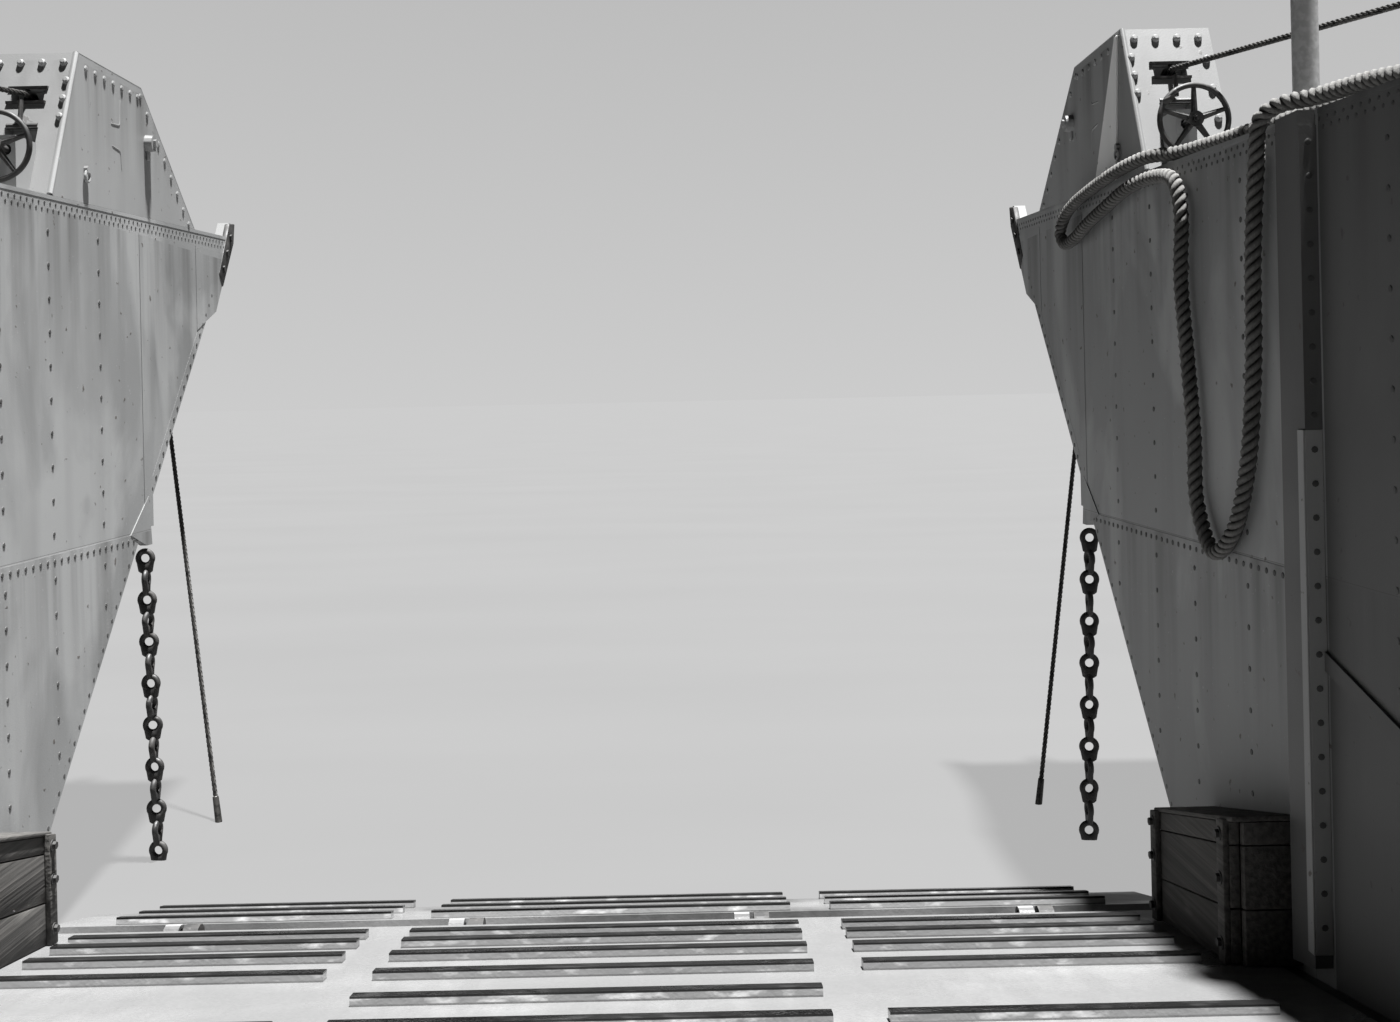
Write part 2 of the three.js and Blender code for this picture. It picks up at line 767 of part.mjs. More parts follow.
// Hawser: an eye on each mooring post of a pair, a bight forward along the wing's edge and back,
// then a bight down the inner wall and back up
const hawserRadius = 0.035;
const eyeHeight = 0.16;
const eyeRadius = bollardRadius + hawserRadius + 0.004;
const wallFaceX = wellHalf - hawserRadius - 0.012;

// Points ahead of the hinge and above it; "lift" is the height over the wing's top instead of the hinge
const onTop = hawserRadius + 0.006;
const hawserRoute = [
  { x: mooringX, fore: -2.044, lift: eyeHeight },
  { x: 3.09, fore: -1.85, lift: 0.12 },
  { x: 3.04, fore: -1.65, lift: 0.06 },
  { x: 2.9, fore: -1.4, lift: onTop },
  { x: 2.84, fore: -1.0, lift: onTop },
  { x: 2.8, fore: -0.5, lift: onTop },
  { x: 2.77, fore: -0.1, lift: onTop },
  { x: 2.73, fore: 0.15, lift: onTop },
  { x: 2.67, fore: 0.38, lift: 0.055 },
  { x: wallFaceX - 0.006, fore: 0.6, lift: 0.04 },
  { x: wallFaceX - 0.006, fore: 0.85, lift: 0.015 },
  { x: wallFaceX - 0.006, fore: 1.15, lift: -0.02 },
  { x: wallFaceX, fore: 1.45, lift: -0.06 },
  { x: wallFaceX, fore: 1.68, lift: -0.12 },
  { x: wallFaceX, fore: 1.79, lift: -0.2 },
  { x: wallFaceX, fore: 1.72, lift: -0.265 },
  { x: wallFaceX, fore: 1.5, lift: -0.26 },
  { x: wallFaceX, fore: 1.2, lift: -0.195 },
  { x: wallFaceX, fore: 0.9, lift: -0.14 },
  { x: wallFaceX, fore: 0.55, lift: -0.075 },
  { x: wallFaceX, fore: 0.2, lift: -0.06 },
  { x: wallFaceX, fore: -0.02, lift: -0.11 },
  { x: wallFaceX, fore: -0.1, lift: -0.25 },
  { x: wallFaceX, fore: -0.08, lift: -0.55 },
  { x: wallFaceX, fore: -0.14, lift: -0.9 },
  { x: wallFaceX, fore: -0.2, lift: -1.25 },
  { x: wallFaceX, fore: -0.22, lift: -1.55 },
  { x: wallFaceX, fore: -0.4, lift: -1.74 },
  { x: wallFaceX, fore: -0.62, lift: -1.63 },
  { x: wallFaceX, fore: -0.78, lift: -1.35 },
  { x: wallFaceX, fore: -0.86, lift: -0.95 },
  { x: wallFaceX, fore: -0.88, lift: -0.5 },
  { x: wallFaceX, fore: -0.93, lift: -0.15 },
  { x: wallFaceX, fore: -0.98, lift: 0.02 },
  { x: 2.69, fore: -1.05, lift: 0.06 },
  { x: 2.76, fore: -1.2, lift: 0.066 },
  { x: 2.79, fore: -1.55, lift: 0.06 },
  { x: 2.82, fore: -1.85, lift: onTop },
  { x: 2.855, fore: -2.1, lift: 0.05 },
  { x: 2.9, fore: -2.32, lift: 0.09 },
  { x: 2.97, fore: -2.48, lift: 0.135 },
  { x: 3.032, fore: -2.614, lift: eyeHeight },
];
const hawserSteps = 78;

function hawser() {
  const points = hawserRoute.map(({ x, fore, lift }) => {
    const y = hingeY + fore;
    return new THREE.Vector3(x, y, wingTopZ(y) + lift).multiplyScalar(mm);
  });
  const section = new THREE.Shape();
  section.absarc(0, 0, hawserRadius * mm, 0, 2 * Math.PI, false);
  const route = new THREE.CatmullRomCurve3(points, false, "centripetal");
  const geometry = new THREE.ExtrudeGeometry(section, {
    steps: hawserSteps,
    extrudePath: route,
    curveSegments: 4,
    bevelEnabled: false,
  });
  add("hawser", solid(geometry), hemp);
  for (const [name, y] of [["fore", mooringY + 0.28], ["aft", mooringY - 0.28]]) {
    const centre = [mooringX, y, wingTopZ(y) + eyeHeight];
    add(`hawser_eye_${name}`, ring(centre, alongZ.toArray(), eyeRadius, hawserRadius, 16, 6), hemp);
  }
}
hawser();

// Running gear
function propellers() {
  for (const { side, s } of sides) {
    const x = s * shaftX;
    const shaft = rod([x, shaftFrontY, shaftZ], [x, propellerY - 0.1, shaftZ], shaftRadius, 12);
    const hub = rod([x, propellerY + 0.2, shaftZ], [x, propellerY - 0.16, shaftZ], 0.13, 12, 0.1);
    const cone = rod([x, propellerY - 0.16, shaftZ], [x, propellerY - 0.32, shaftZ], 0.1, 12, 0.03);
    const blades = Array.from({ length: 3 }, (_, i) => {
      const blade = new THREE.Shape();
      blade.moveTo(-0.07, 0.08);
      blade.bezierCurveTo(-0.3, 0.25, -0.26, 0.52, 0, propellerRadius);
      blade.bezierCurveTo(0.26, 0.52, 0.3, 0.25, 0.07, 0.08);
      const geometry = new THREE.ExtrudeGeometry(blade, {
        depth: 0.024,
        curveSegments: 6,
        bevelEnabled: false,
      });
      geometry.translate(0, 0, -0.012);
      geometry.rotateY(s * 25 * degrees + 90 * degrees);
      geometry.rotateY(-90 * degrees);
      geometry.rotateX(90 * degrees);
      geometry.rotateY((i / 3) * 2 * Math.PI);
      geometry.translate(x, propellerY, shaftZ);
      geometry.scale(mm, mm, mm);
      return solid(geometry);
    });
    add(`propeller_${side}`, join(shaft, hub, cone, blades), bronze);
  }
}
propellers();

function rudders() {
  for (const { side, s } of sides) {
    const x = s * shaftX;
    const plan = [
      [x, stockY + 0.34],
      [x + 0.045, stockY + 0.1],
      [x + 0.035, stockY - 0.4],
      [x, stockY - 0.85],
      [x - 0.035, stockY - 0.4],
      [x - 0.045, stockY + 0.1],
    ];
    const blade = upright(plan, 0.2, 1.45);
    const stock = rod([x, stockY, 0.3], [x, stockY, stockTopZ], stockRadius, 12);
    add(`rudder_${side}`, join(blade, stock), hullPaint);
  }
}
rudders();

// Quarterdeck over the engine room, with a coaming round the engine hatch
const hatch = { x0: -0.55, x1: 0.55, y0: -24.0, y1: -23.0 };
const hatchCoaming = 0.3;

function quarterdeck() {
  const inset = 0.02;
  const plan = planPoints.map(([x, y]) => [x - Math.sign(x) * inset, y + inset]);
  const abaft = box(-5, 5, sternY - 1, engineWallY - gap, 0, 9);
  const plate = upright(plan, sideDeckZ, quarterdeckZ).intersect(abaft);
  const { x0, x1, y0, y1 } = hatch;
  const top = quarterdeckZ + hatchCoaming;
  const coaming = box(x0 - 0.06, x1 + 0.06, y0 - 0.06, y1 + 0.06, sideDeckZ, top);
  const mooring = [-3.3, 3.3].map((x) => bollards(x, -26.4, quarterdeckZ + 0.04));
  const vents = [-3.2, 3.2].map((x) => ventilator(x, -23.4, quarterdeckZ));
  const opening = box(x0, x1, y0, y1, 0, 9);
  add("quarterdeck", cut(join(plate, coaming, mooring, vents), opening), deckPaint);
}
quarterdeck();

function engineHatchLid() {
  const { x0, x1, y0, y1 } = hatch;
  const z = quarterdeckZ + hatchCoaming + 0.01;
  const lid = box(x0 - 0.1, x1 + 0.1, y0 - 0.1, y1 + 0.1, z, z + 0.04);
  const hinges = [x0 + 0.2, x1 - 0.2].map((x) =>
    join(
      rod([x - 0.08, y1 + 0.14, z + 0.02], [x + 0.08, y1 + 0.14, z + 0.02], 0.03, 8),
      box(x - 0.08, x + 0.08, y1 + 0.05, y1 + 0.14, z, z + 0.04),
    ),
  );
  const grip = join(
    box(-0.12, -0.08, y0 + 0.02, y0 + 0.06, z, z + 0.12),
    box(0.08, 0.12, y0 + 0.02, y0 + 0.06, z, z + 0.12),
    box(-0.12, 0.12, y0 + 0.02, y0 + 0.06, z + 0.09, z + 0.12),
  );
  add("engine_hatch_lid", join(lid, hinges, grip), deckPaint);
}
engineHatchLid();

// Deckhouse: four walls and a door under the bridge deck
const house = { x: 2.75, y0: -21.6, y1: -14.2, wall: 0.08, height: 2.2 };
const houseFloorZ = quarterdeckZ + gap;
const bridgeDeckZ = houseFloorZ + house.height + gap;
const bridgeDeckThick = 0.06;
const bridgeZ = bridgeDeckZ + bridgeDeckThick;
const door = { x0: 0.75, width: 0.72, sill: 0.2, height: 1.75, thick: 0.05, play: 0.014 };

function deckhouse() {
  const { x, y0, y1, wall, height } = house;
  const top = houseFloorZ + height;
  add("deckhouse_front", box(-x, x, y1 - wall, y1, houseFloorZ, top), housePaint);
  for (const { side, s } of sides) {
    const [front, back] = [y1 - wall - gap, y0 + wall + gap];
    const plate = box(s * x, s * (x - wall), back, front, houseFloorZ, top);
    add(`deckhouse_${side}`, plate, housePaint);
  }
  const doorway = box(
    door.x0,
    door.x0 + door.width,
    y0 - 1,
    y0 + 1,
    houseFloorZ + door.sill,
    houseFloorZ + door.sill + door.height,
  );
  add("deckhouse_aft", cut(box(-x, x, y0, y0 + wall, houseFloorZ, top), doorway), housePaint);
}
deckhouse();

function deckhouseDoor() {
  const y = house.y0;
  const x0 = door.x0 + door.play;
  const x1 = door.x0 + door.width - door.play;
  const z0 = houseFloorZ + door.sill + door.play;
  const z1 = houseFloorZ + door.sill + door.height - door.play;
  const panel = box(x0, x1, y - 0.01, y + door.thick, z0, z1);
  const hingeBarrels = [z0 + 0.25, z1 - 0.25].map((z) =>
    join(
      rod([door.x0, y - 0.03, z - 0.06], [door.x0, y - 0.03, z + 0.06], 0.018, 8),
      box(door.x0 - 0.01, x0 + 0.1, y - 0.04, y - 0.005, z - 0.03, z + 0.03),
    ),
  );
  const handle = join(
    box(x1 - 0.1, x1 - 0.06, y - 0.08, y, (z0 + z1) / 2 - 0.02, (z0 + z1) / 2 + 0.02),
    box(x1 - 0.22, x1 - 0.06, y - 0.09, y - 0.06, (z0 + z1) / 2 - 0.02, (z0 + z1) / 2 + 0.02),
  );
  add("deckhouse_door", join(panel, hingeBarrels, handle), housePaint);
}
deckhouseDoor();

function bridgeDeck() {
  const overhang = 0.2;
  const { x, y0, y1 } = house;
  const plate = box(-x - overhang, x + overhang, y0 - overhang, y1 + overhang, bridgeDeckZ, bridgeZ);
  add("bridge_deck", plate, deckPaint);
}
bridgeDeck();

// Bridge ladder: up the deckhouse's aft wall to the bridge deck, on the port side
const ladder = { x: -1.6, half: 0.22, stringer: 0.03, rung: 0.014, rungs: 7, foot: 0.62, head: 0.2 + gap };

function bridgeLadder() {
  const { x, half, stringer, rung, rungs, foot, head } = ladder;
  const [z0, z1] = [quarterdeckZ + gap, bridgeDeckZ + 0.02];
  const at = (share) => house.y0 - foot + (foot - head) * share;
  const rails = [-half, half].map((step) => {
    const [x0, x1] = [x + step - stringer, x + step + stringer];
    const outline = [[at(0), z0], [at(0) - 0.12, z0], [at(1) - 0.12, z1], [at(1), z1]];
    return sideways(outline, x0, x1);
  });
  const steps = Array.from({ length: rungs }, (_, i) => {
    const share = (i + 0.7) / rungs;
    const [y, z] = [at(share) - 0.06, z0 + (z1 - z0) * share];
    return rod([x - half, y, z], [x + half, y, z], rung, 6);
  });
  add("bridge_ladder", join(rails, steps), housePaint);
}
bridgeLadder();

// Wheelhouse on the bridge deck, with its windows and its doorway cut through
const wheelhouse = { x: 1.5, y0: -17.9, y1: -15.4, wall: 0.07, height: 2.0 };
const frontWindows = [-0.95, 0, 0.95];
const sideWindows = [-16.1, -17.2];
const windowWidth = 0.62;
const windowSill = 1.1;
const windowHeight = 0.5;

function wheelhouseWalls() {
  const { x, y0, y1, wall, height } = wheelhouse;
  const z0 = bridgeZ + gap;
  const z1 = z0 + height;
  const outer = box(-x, x, y0, y1, z0, z1);
  const inner = box(-x + wall, x - wall, y0 + wall, y1 - wall, z0 - 1, z1 + 1);
  const [w0, w1] = [z0 + windowSill, z0 + windowSill + windowHeight];
  const half = windowWidth / 2;
  const openings = [
    ...frontWindows.map((c) => box(c - half, c + half, y1 - 1, y1 + 1, w0, w1)),
    ...sideWindows.map((c) => box(-x - 1, x + 1, c - half, c + half, w0, w1)),
    box(-0.35, 0.35, y0 - 1, y0 + 1, z0 + 0.1, z0 + 1.8),
  ];
  add("wheelhouse_walls", cut(outer, inner, openings), housePaint);
}
wheelhouseWalls();

const wheelhouseTopZ = bridgeZ + wheelhouse.height + 2 * gap;
const searchlight = { y: -16.0, z: 0.42, radius: 0.19, length: 0.3, foot: 0.05 };

function wheelhouseRoof() {
  const { x, y0, y1 } = wheelhouse;
  const section = [
    [-x - 0.12, wheelhouseTopZ],
    [x + 0.12, wheelhouseTopZ],
    [x + 0.12, wheelhouseTopZ + 0.05],
    [x * 0.5, wheelhouseTopZ + 0.11],
    [-x * 0.5, wheelhouseTopZ + 0.11],
    [-x - 0.12, wheelhouseTopZ + 0.05],
  ];
  const { y: lampY, radius, length, foot } = searchlight;
  const lampZ = wheelhouseTopZ + searchlight.z;
  const lamp = [
    rod([0, lampY, wheelhouseTopZ], [0, lampY, lampZ - radius * 0.8], foot, 8),
    rod([0, lampY - length / 2, lampZ], [0, lampY + length / 2, lampZ], radius, 16),
    rod([0, lampY - length / 2, lampZ], [0, lampY - length * 0.75, lampZ], radius, 16, radius * 0.55),
  ];
  add("wheelhouse_roof", join(lengthways(section, y0 - 0.12, y1 + 0.12), lamp), deckPaint);
}
wheelhouseRoof();

// Bridge screen: a breast-high plate round the front and sides of the bridge deck, with the side lamps
const sideLamp = { y: -15.2, out: 0.12, radius: 0.075 };

function bridgeScreen() {
  const [x, y0, y1] = [house.x + 0.12, house.y0 + 1.6, house.y1 + 0.12];
  const [z0, z1] = [bridgeZ + gap, bridgeZ + 1.1];
  const thick = 0.05;
  const around = box(-x, x, y0, y1, z0, z1);
  const inside = box(-x + thick, x - thick, y0 - 1, y1 - thick, z0 - 1, z1 + 1);
  const { y: lampY, out, radius } = sideLamp;
  const lamps = [-1, 1].flatMap((s) => [
    box(s * (x - 0.01), s * (x + 0.05), lampY - 0.5, lampY + 0.14, z1 - 0.36, z1 - 0.02),
    rod([s * (x + out), lampY, z1 - 0.32], [s * (x + out), lampY, z1 - 0.08], radius, 10),
    box(s * (x + 0.04), s * (x + out + radius), lampY - 0.16, lampY + 0.14, z1 - 0.36, z1 - 0.31),
  ]);
  add("bridge_screen", join(cut(around, inside), lamps), housePaint);
}
bridgeScreen();

// Funnel: a tapered casing on a foot ring, open at the top
const funnelY = -20.4;
const funnelHeight = 2.1;
const funnelRadius = { foot: 0.6, low: 0.5, band: 0.475, top: 0.44, throat: 0.4 };

function funnel() {
  const z0 = bridgeZ + gap;
  const at = (height) => [0, funnelY, z0 + height];
  const shell = rod(at(0), at(funnelHeight), funnelRadius.low, 20, funnelRadius.top);
  const band = rod(at(funnelHeight - 0.2), at(funnelHeight - 0.1), funnelRadius.band, 20);
  const foot = rod(at(0), at(0.1), funnelRadius.foot, 20);
  const throat = rod(at(1.2), at(3), funnelRadius.throat, 16);
  add("funnel", cut(join(shell, band, foot), throat), hullPaint);
}
funnel();

// Mast: a tapered pole with a yard, and a platform for its lamp
const mastY = -18.9;
const mastHeight = 6.2;
const yard = { z: 4.2, half: 1.1, radius: 0.035 };
const lampShelf = { z: 5.0, half: 0.25, fore: 0.35, aft: 0.1, thick: 0.05 };

function mast() {
  const y = mastY;
  const z0 = bridgeZ + gap;
  const pole = rod([0, y, z0], [0, y, z0 + mastHeight], 0.11, 10, 0.05);
  const foot = box(-0.25, 0.25, y - 0.25, y + 0.25, z0, z0 + 0.05);
  const spar = rod([-yard.half, y, z0 + yard.z], [yard.half, y, z0 + yard.z], yard.radius, 8);
  const { z, half, fore, aft, thick } = lampShelf;
  const shelf = box(-half, half, y - aft, y + fore, z0 + z, z0 + z + thick);
  const lampFoot = rod([0, y + 0.2, z0 + z], [0, y + 0.2, z0 + z + 0.3], 0.09, 10);
  add("mast", join(pole, foot, spar, shelf, lampFoot), hullPaint);
}
mast();

// Kedge winch at the stern, and the anchor that it handles
const kedge = { y: -27.4, z: quarterdeckZ + 0.75, drum: 0.2, flange: 0.4, half: 0.62 };

function kedgeWinch() {
  const { y, z, drum, flange, half } = kedge;
  const foot = quarterdeckZ + gap;
  const cheeks = [-1, 1].map((s) =>
    sideways(
      [
        [y - 0.5, foot],
        [y + 0.5, foot],
        [y + 0.16, z + 0.16],
        [y - 0.16, z + 0.16],
      ],
      s * (half + 0.06),
      s * (half + 0.14),
    ),
  );
  const bed = box(-half - 0.14, half + 0.14, y - 0.5, y + 0.5, foot, foot + 0.06);
  const motor = box(half + 0.14, half + 0.75, y - 0.3, y + 0.3, foot, foot + 0.7);
  const bore = rod([-half - 1, y, z], [half + 0.13, y, z], 0.07, 12);
  add("kedge_winch_frame", cut(join(bed, cheeks, motor), bore), darkIron);
  const barrel = rod([-half, y, z], [half, y, z], drum, 14);
  const flanges = [-half, half - 0.04].map((x) => rod([x, y, z], [x + 0.04, y, z], flange, 18));
  const shaft = rod([-half - 0.3, y, z], [half + 0.12, y, z], 0.05, 10);
  const head = rod([-half - 0.34, y, z], [-half - 0.16, y, z], 0.13, 12);
  add("kedge_winch_drum", join(barrel, flanges, shaft, head), darkIron);
}
kedgeWinch();

const anchor = { x: -2.1, crownY: -28.9, eyeY: -27.3 };

function sternAnchor() {
  const [x, z] = [anchor.x, quarterdeckZ + gap];
  const [y0, y1] = [anchor.crownY, anchor.eyeY];
  const shank = box(x - 0.05, x + 0.05, y0 + 0.1, y1, z + 0.12, z + 0.22);
  const crown = box(x - 0.42, x + 0.42, y0, y0 + 0.16, z, z + 0.24);
  const flukes = [-1, 1].map((s) =>
    upright(
      [
        [x + s * 0.3 - 0.06, y0 + 0.1],
        [x + s * 0.3 + 0.06, y0 + 0.1],
        [x + s * 0.3 + 0.11, y0 + 0.6],
        [x + s * 0.3, y0 + 0.95],
        [x + s * 0.3 - 0.11, y0 + 0.6],
      ],
      z + 0.02,
      z + 0.08,
    ),
  );
  const eye = ring([x, y1 + 0.06, z + 0.17], [1, 0, 0], 0.09, 0.025, 12, 6);
  const rest = box(x - 0.08, x + 0.08, y1 - 0.2, y1 - 0.1, z, z + 0.13);
  add("stern_anchor", join(shank, crown, flukes, eye, rest), darkIron);
}
sternAnchor();

// Guard rails along the outer edges of the side decks, and round the quarterdeck to the counter
const railX = hullHalf - 0.12;
const railPitch = 2.25;
const railHeights = [0.52, 0.98];
const railPost = { radius: 0.022, height: 1.0 };
const railLine = 0.012;
const sternRail = [
  { x: railX, y: engineWallY - 0.3 },
  { x: railX, y: engineWallY - 2.6 },
  { x: railX, y: engineWallY - 4.9 },
  { x: railX, y: engineWallY - 7.2 },
  { x: railX, y: engineWallY - 9.5 },
  { x: railX, y: sternY + 5.55 },
  { x: 4.26, y: sternY + 2.66 },
  { x: 3.69, y: sternY + 0.95 },
  { x: 3.1, y: sternY + 0.32 },
];

function railing(places, z) {
  const { radius, height } = railPost;
  const posts = places.map(([x, y]) => rod([x, y, z], [x, y, z + height], radius, 6));
  const lines = railHeights.map((h) => rods(places.map(([x, y]) => [x, y, z + h]), railLine, 6));
  return [...posts, ...lines];
}

function guardRails() {
  for (const { side, s } of sides) {
    const y0 = bowJointY - 0.2;
    const count = Math.floor((y0 - engineWallY - 0.2) / railPitch);
    const along = Array.from({ length: count + 1 }, (_, i) => [s * railX, y0 - i * railPitch]);
    const astern = sternRail.map(({ x, y }) => [s * x, y]);
    const [z0, z1] = [sideDeckZ + gap, quarterdeckZ + gap];
    const link = railHeights.map((h) => rod([...along.at(-1), z0 + h], [...astern[0], z1 + h], railLine, 6));
    add(`guard_rail_${side}`, join(railing(along, z0), railing(astern, z1), link), hullPaint);
  }
}
guardRails();

// Life floats on the bridge deck, one each side of the funnel
const float = { x: 1.75, radius: 0.42, tube: 0.16, stretch: 1.7, slats: [-0.3, 0, 0.3] };

function lifeFloats() {
  for (const { side, s } of sides) {
    const { radius, tube, stretch } = float;
    const x = s * float.x;
    const y = funnelY;
    const z = bridgeZ + gap + tube;
    const geometry = new THREE.TorusGeometry(radius * mm, tube * mm, 8, 20);
    geometry.scale(1, stretch, 1);
    geometry.translate(x * mm, y * mm, z * mm);
    const slats = float.slats.map((step) =>
      box(x - radius, x + radius, y + step - 0.06, y + step + 0.06, z - 0.06, z - 0.03),
    );
    add(`life_float_${side}`, join(solid(geometry), slats), floatCanvas);
  }
}
lifeFloats();

export default craft;
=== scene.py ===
import json
import math

import bmesh
import bpy
from mathutils import Matrix, Vector


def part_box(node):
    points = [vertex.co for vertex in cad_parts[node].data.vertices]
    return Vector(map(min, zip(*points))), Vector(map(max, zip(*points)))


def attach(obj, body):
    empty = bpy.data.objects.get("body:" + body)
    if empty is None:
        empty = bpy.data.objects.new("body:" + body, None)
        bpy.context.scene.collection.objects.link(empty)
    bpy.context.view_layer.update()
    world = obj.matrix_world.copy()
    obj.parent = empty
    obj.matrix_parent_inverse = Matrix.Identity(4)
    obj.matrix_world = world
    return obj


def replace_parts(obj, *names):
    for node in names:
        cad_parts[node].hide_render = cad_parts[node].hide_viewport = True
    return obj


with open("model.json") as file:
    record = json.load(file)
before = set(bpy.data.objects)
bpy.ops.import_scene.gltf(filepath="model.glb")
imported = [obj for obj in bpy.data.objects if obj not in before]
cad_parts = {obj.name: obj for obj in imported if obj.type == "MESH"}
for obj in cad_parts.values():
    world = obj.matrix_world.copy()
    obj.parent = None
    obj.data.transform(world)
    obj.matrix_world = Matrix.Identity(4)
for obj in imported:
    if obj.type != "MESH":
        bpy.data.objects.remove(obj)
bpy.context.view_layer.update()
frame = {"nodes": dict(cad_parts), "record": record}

# Camera: a standing eye in the middle of the well, 3.2 m aft of the ramp's hinge on this half-size
# craft. It looks level and straight ahead, with the slight roll and the framing of a hand-held camera.
ramp_joint = next(j for j in frame["record"]["behaviour"]["joints"] if j["name"] == "ramp_hinge")
pin_y, pin_z = ramp_joint["pos_m"][1:]
hinge_y = pin_y - 0.045
hinge_z = pin_z + 0.025
eye = Vector((0.195, hinge_y - 3.2, hinge_z + 1.205))
camera_roll = math.radians(-1.25)

bpy.ops.object.select_all(action="DESELECT")
bpy.ops.object.camera_add(location=eye)
camera = bpy.context.object
camera.name = "camera"
level = Matrix.Rotation(math.radians(90), 4, "X")
camera.matrix_world = Matrix.Translation(eye) @ level @ Matrix.Rotation(camera_roll, 4, "Z")
camera.data.sensor_width = 36.0
camera.data.lens = 36.0
camera.data.shift_x = 0.0129
camera.data.shift_y = -0.0821
camera.data.clip_start = 0.05
camera.data.clip_end = 900
bpy.context.scene.camera = camera


# Hawser: three-strand hemp rope, 35 mm thick, led forward along the starboard wing's edge and back,
# then down the inner wall in a bight and up again. Each end has an eye dropped over a mooring post.
rope_thickness = 0.035
rope_lay = 0.066
steps_per_lay = 12
on_wing = 0.0205
edge_x = 1.3265
wing_top = [(1.64, 1.785), (0, 1.725), (-1.3, 1.675), (-3.3, 1.425), (-4.5, 1.25)]


# The height of a wing's top edge, from its knees, which are given ahead of and above the hinge
def wing_top_z(y):
    ahead = y - hinge_y
    for (y1, z1), (y0, z0) in zip(wing_top, wing_top[1:]):
        if ahead >= y0:
            return hinge_z + z0 + (z1 - z0) * (ahead - y0) / (y1 - y0)
    return hinge_z + wing_top[-1][1]


# Each place: across, ahead of the hinge, above the wing's top
hawser_route = [
    (1.545, -0.925, 0.06), (1.52, -0.825, 0.03), (1.45, -0.7, on_wing), (1.42, -0.5, on_wing),
    (1.4, -0.25, on_wing), (1.385, -0.05, on_wing), (1.365, 0.075, on_wing), (1.335, 0.19, 0.0275),
    (1.318, 0.3, 0.02), (1.31, 0.425, 0.0075), (1.307, 0.575, -0.01), (1.307, 0.725, -0.03),
    (1.309, 0.84, -0.06), (1.312, 0.895, -0.1), (1.312, 0.86, -0.1325), (1.309, 0.75, -0.13),
    (1.307, 0.6, -0.0975), (1.308, 0.45, -0.07), (1.314, 0.275, -0.0375), (edge_x, 0.1, -0.03),
    (edge_x, -0.01, -0.055), (edge_x, -0.05, -0.125), (edge_x, -0.04, -0.275), (edge_x, -0.07, -0.45),
    (edge_x, -0.1, -0.625), (edge_x, -0.11, -0.775), (edge_x, -0.2, -0.87), (edge_x, -0.31, -0.815),
    (edge_x, -0.39, -0.675), (edge_x, -0.43, -0.475), (edge_x, -0.44, -0.25), (edge_x, -0.465, -0.075),
    (edge_x, -0.49, 0.01), (1.345, -0.525, 0.03), (1.38, -0.6, 0.033), (1.395, -0.775, 0.03),
    (1.41, -0.925, on_wing), (1.4275, -1.05, 0.025), (1.45, -1.16, 0.045), (1.485, -1.24, 0.0675),
]


def between(a, b, low, high, at):
    return a * ((high - at) / (high - low)) + b * ((at - low) / (high - low))


# A point on the smooth curve through four points, between the second and the third
def smooth_point(points, share):
    knots = [0.0]
    for a, b in zip(points, points[1:]):
        knots.append(knots[-1] + math.sqrt((b - a).length))
    at = knots[1] + (knots[2] - knots[1]) * share
    near = [between(points[i], points[i + 1], knots[i], knots[i + 1], at) for i in range(3)]
    wide = [between(near[i], near[i + 1], knots[i], knots[i + 2], at) for i in range(2)]
    return between(*wide, knots[1], knots[2], at)


def smooth_route(points, per_span=10):
    padded = [points[0] * 2 - points[1], *points, points[-1] * 2 - points[-2]]
    route = []
    for i in range(len(padded) - 3):
        route += [smooth_point(padded[i:i + 4], k / per_span) for k in range(per_span)]
    return [*route, points[-1]]


def evenly(route, step):
    out = [route[0]]
    along = step
    for a, b in zip(route, route[1:]):
        span = (b - a).length
        while along < span:
            out.append(a.lerp(b, along / span))
            along += step
        along -= span
    return [*out, route[-1]]


# Lays strands round a route, each one a swept circle. The attribute "crown" is 1 on a strand's
# outermost line and -1 where it lies against the others.
def laid_rope(name, route, strands, offset, radius, lay, sides=7):
    last = len(route) - 1
    ways = [(route[min(i + 1, last)] - route[max(i - 1, 0)]).normalized() for i in range(last + 1)]
    side = ways[0].orthogonal().normalized()
    frames = []
    travelled = 0.0
    for i, (point, way) in enumerate(zip(route, ways)):
        side = (side - way * side.dot(way)).normalized()
        frames.append((point, side, way.cross(side), travelled))
        travelled += (route[min(i + 1, last)] - point).length
    rope = bmesh.new()
    crown = rope.verts.layers.float.new("crown")
    around = [(math.cos(math.tau * k / sides), math.sin(math.tau * k / sides)) for k in range(sides)]
    for strand in range(strands):
        centres = []
        for point, u, v, along in frames:
            turn = math.tau * (along / lay + strand / strands)
            centres.append(point + (u * math.cos(turn) + v * math.sin(turn)) * offset)
        rings = []
        for i, centre in enumerate(centres):
            way = (centres[min(i + 1, last)] - centres[max(i - 1, 0)]).normalized()
            across = centre - frames[i][0]
            across = (across - way * across.dot(way)).normalized()
            up = way.cross(across)
            rings.append([])
            for out, over in around:
                rings[-1].append(rope.verts.new(centre + (across * out + up * over) * radius))
                rings[-1][-1][crown] = out
        for low, high in zip(rings, rings[1:]):
            for k in range(sides):
                rope.faces.new((low[k], low[(k + 1) % sides], high[(k + 1) % sides], high[k]))
        rope.faces.new(rings[0][::-1])
        rope.faces.new(rings[-1])
    bmesh.ops.recalc_face_normals(rope, faces=rope.faces)
    for face in rope.faces:
        face.smooth = True
    mesh = bpy.data.meshes.new(name)
    rope.to_mesh(mesh)
    rope.free()
    piece = bpy.data.objects.new(name, mesh)
    bpy.context.collection.objects.link(piece)
    return piece


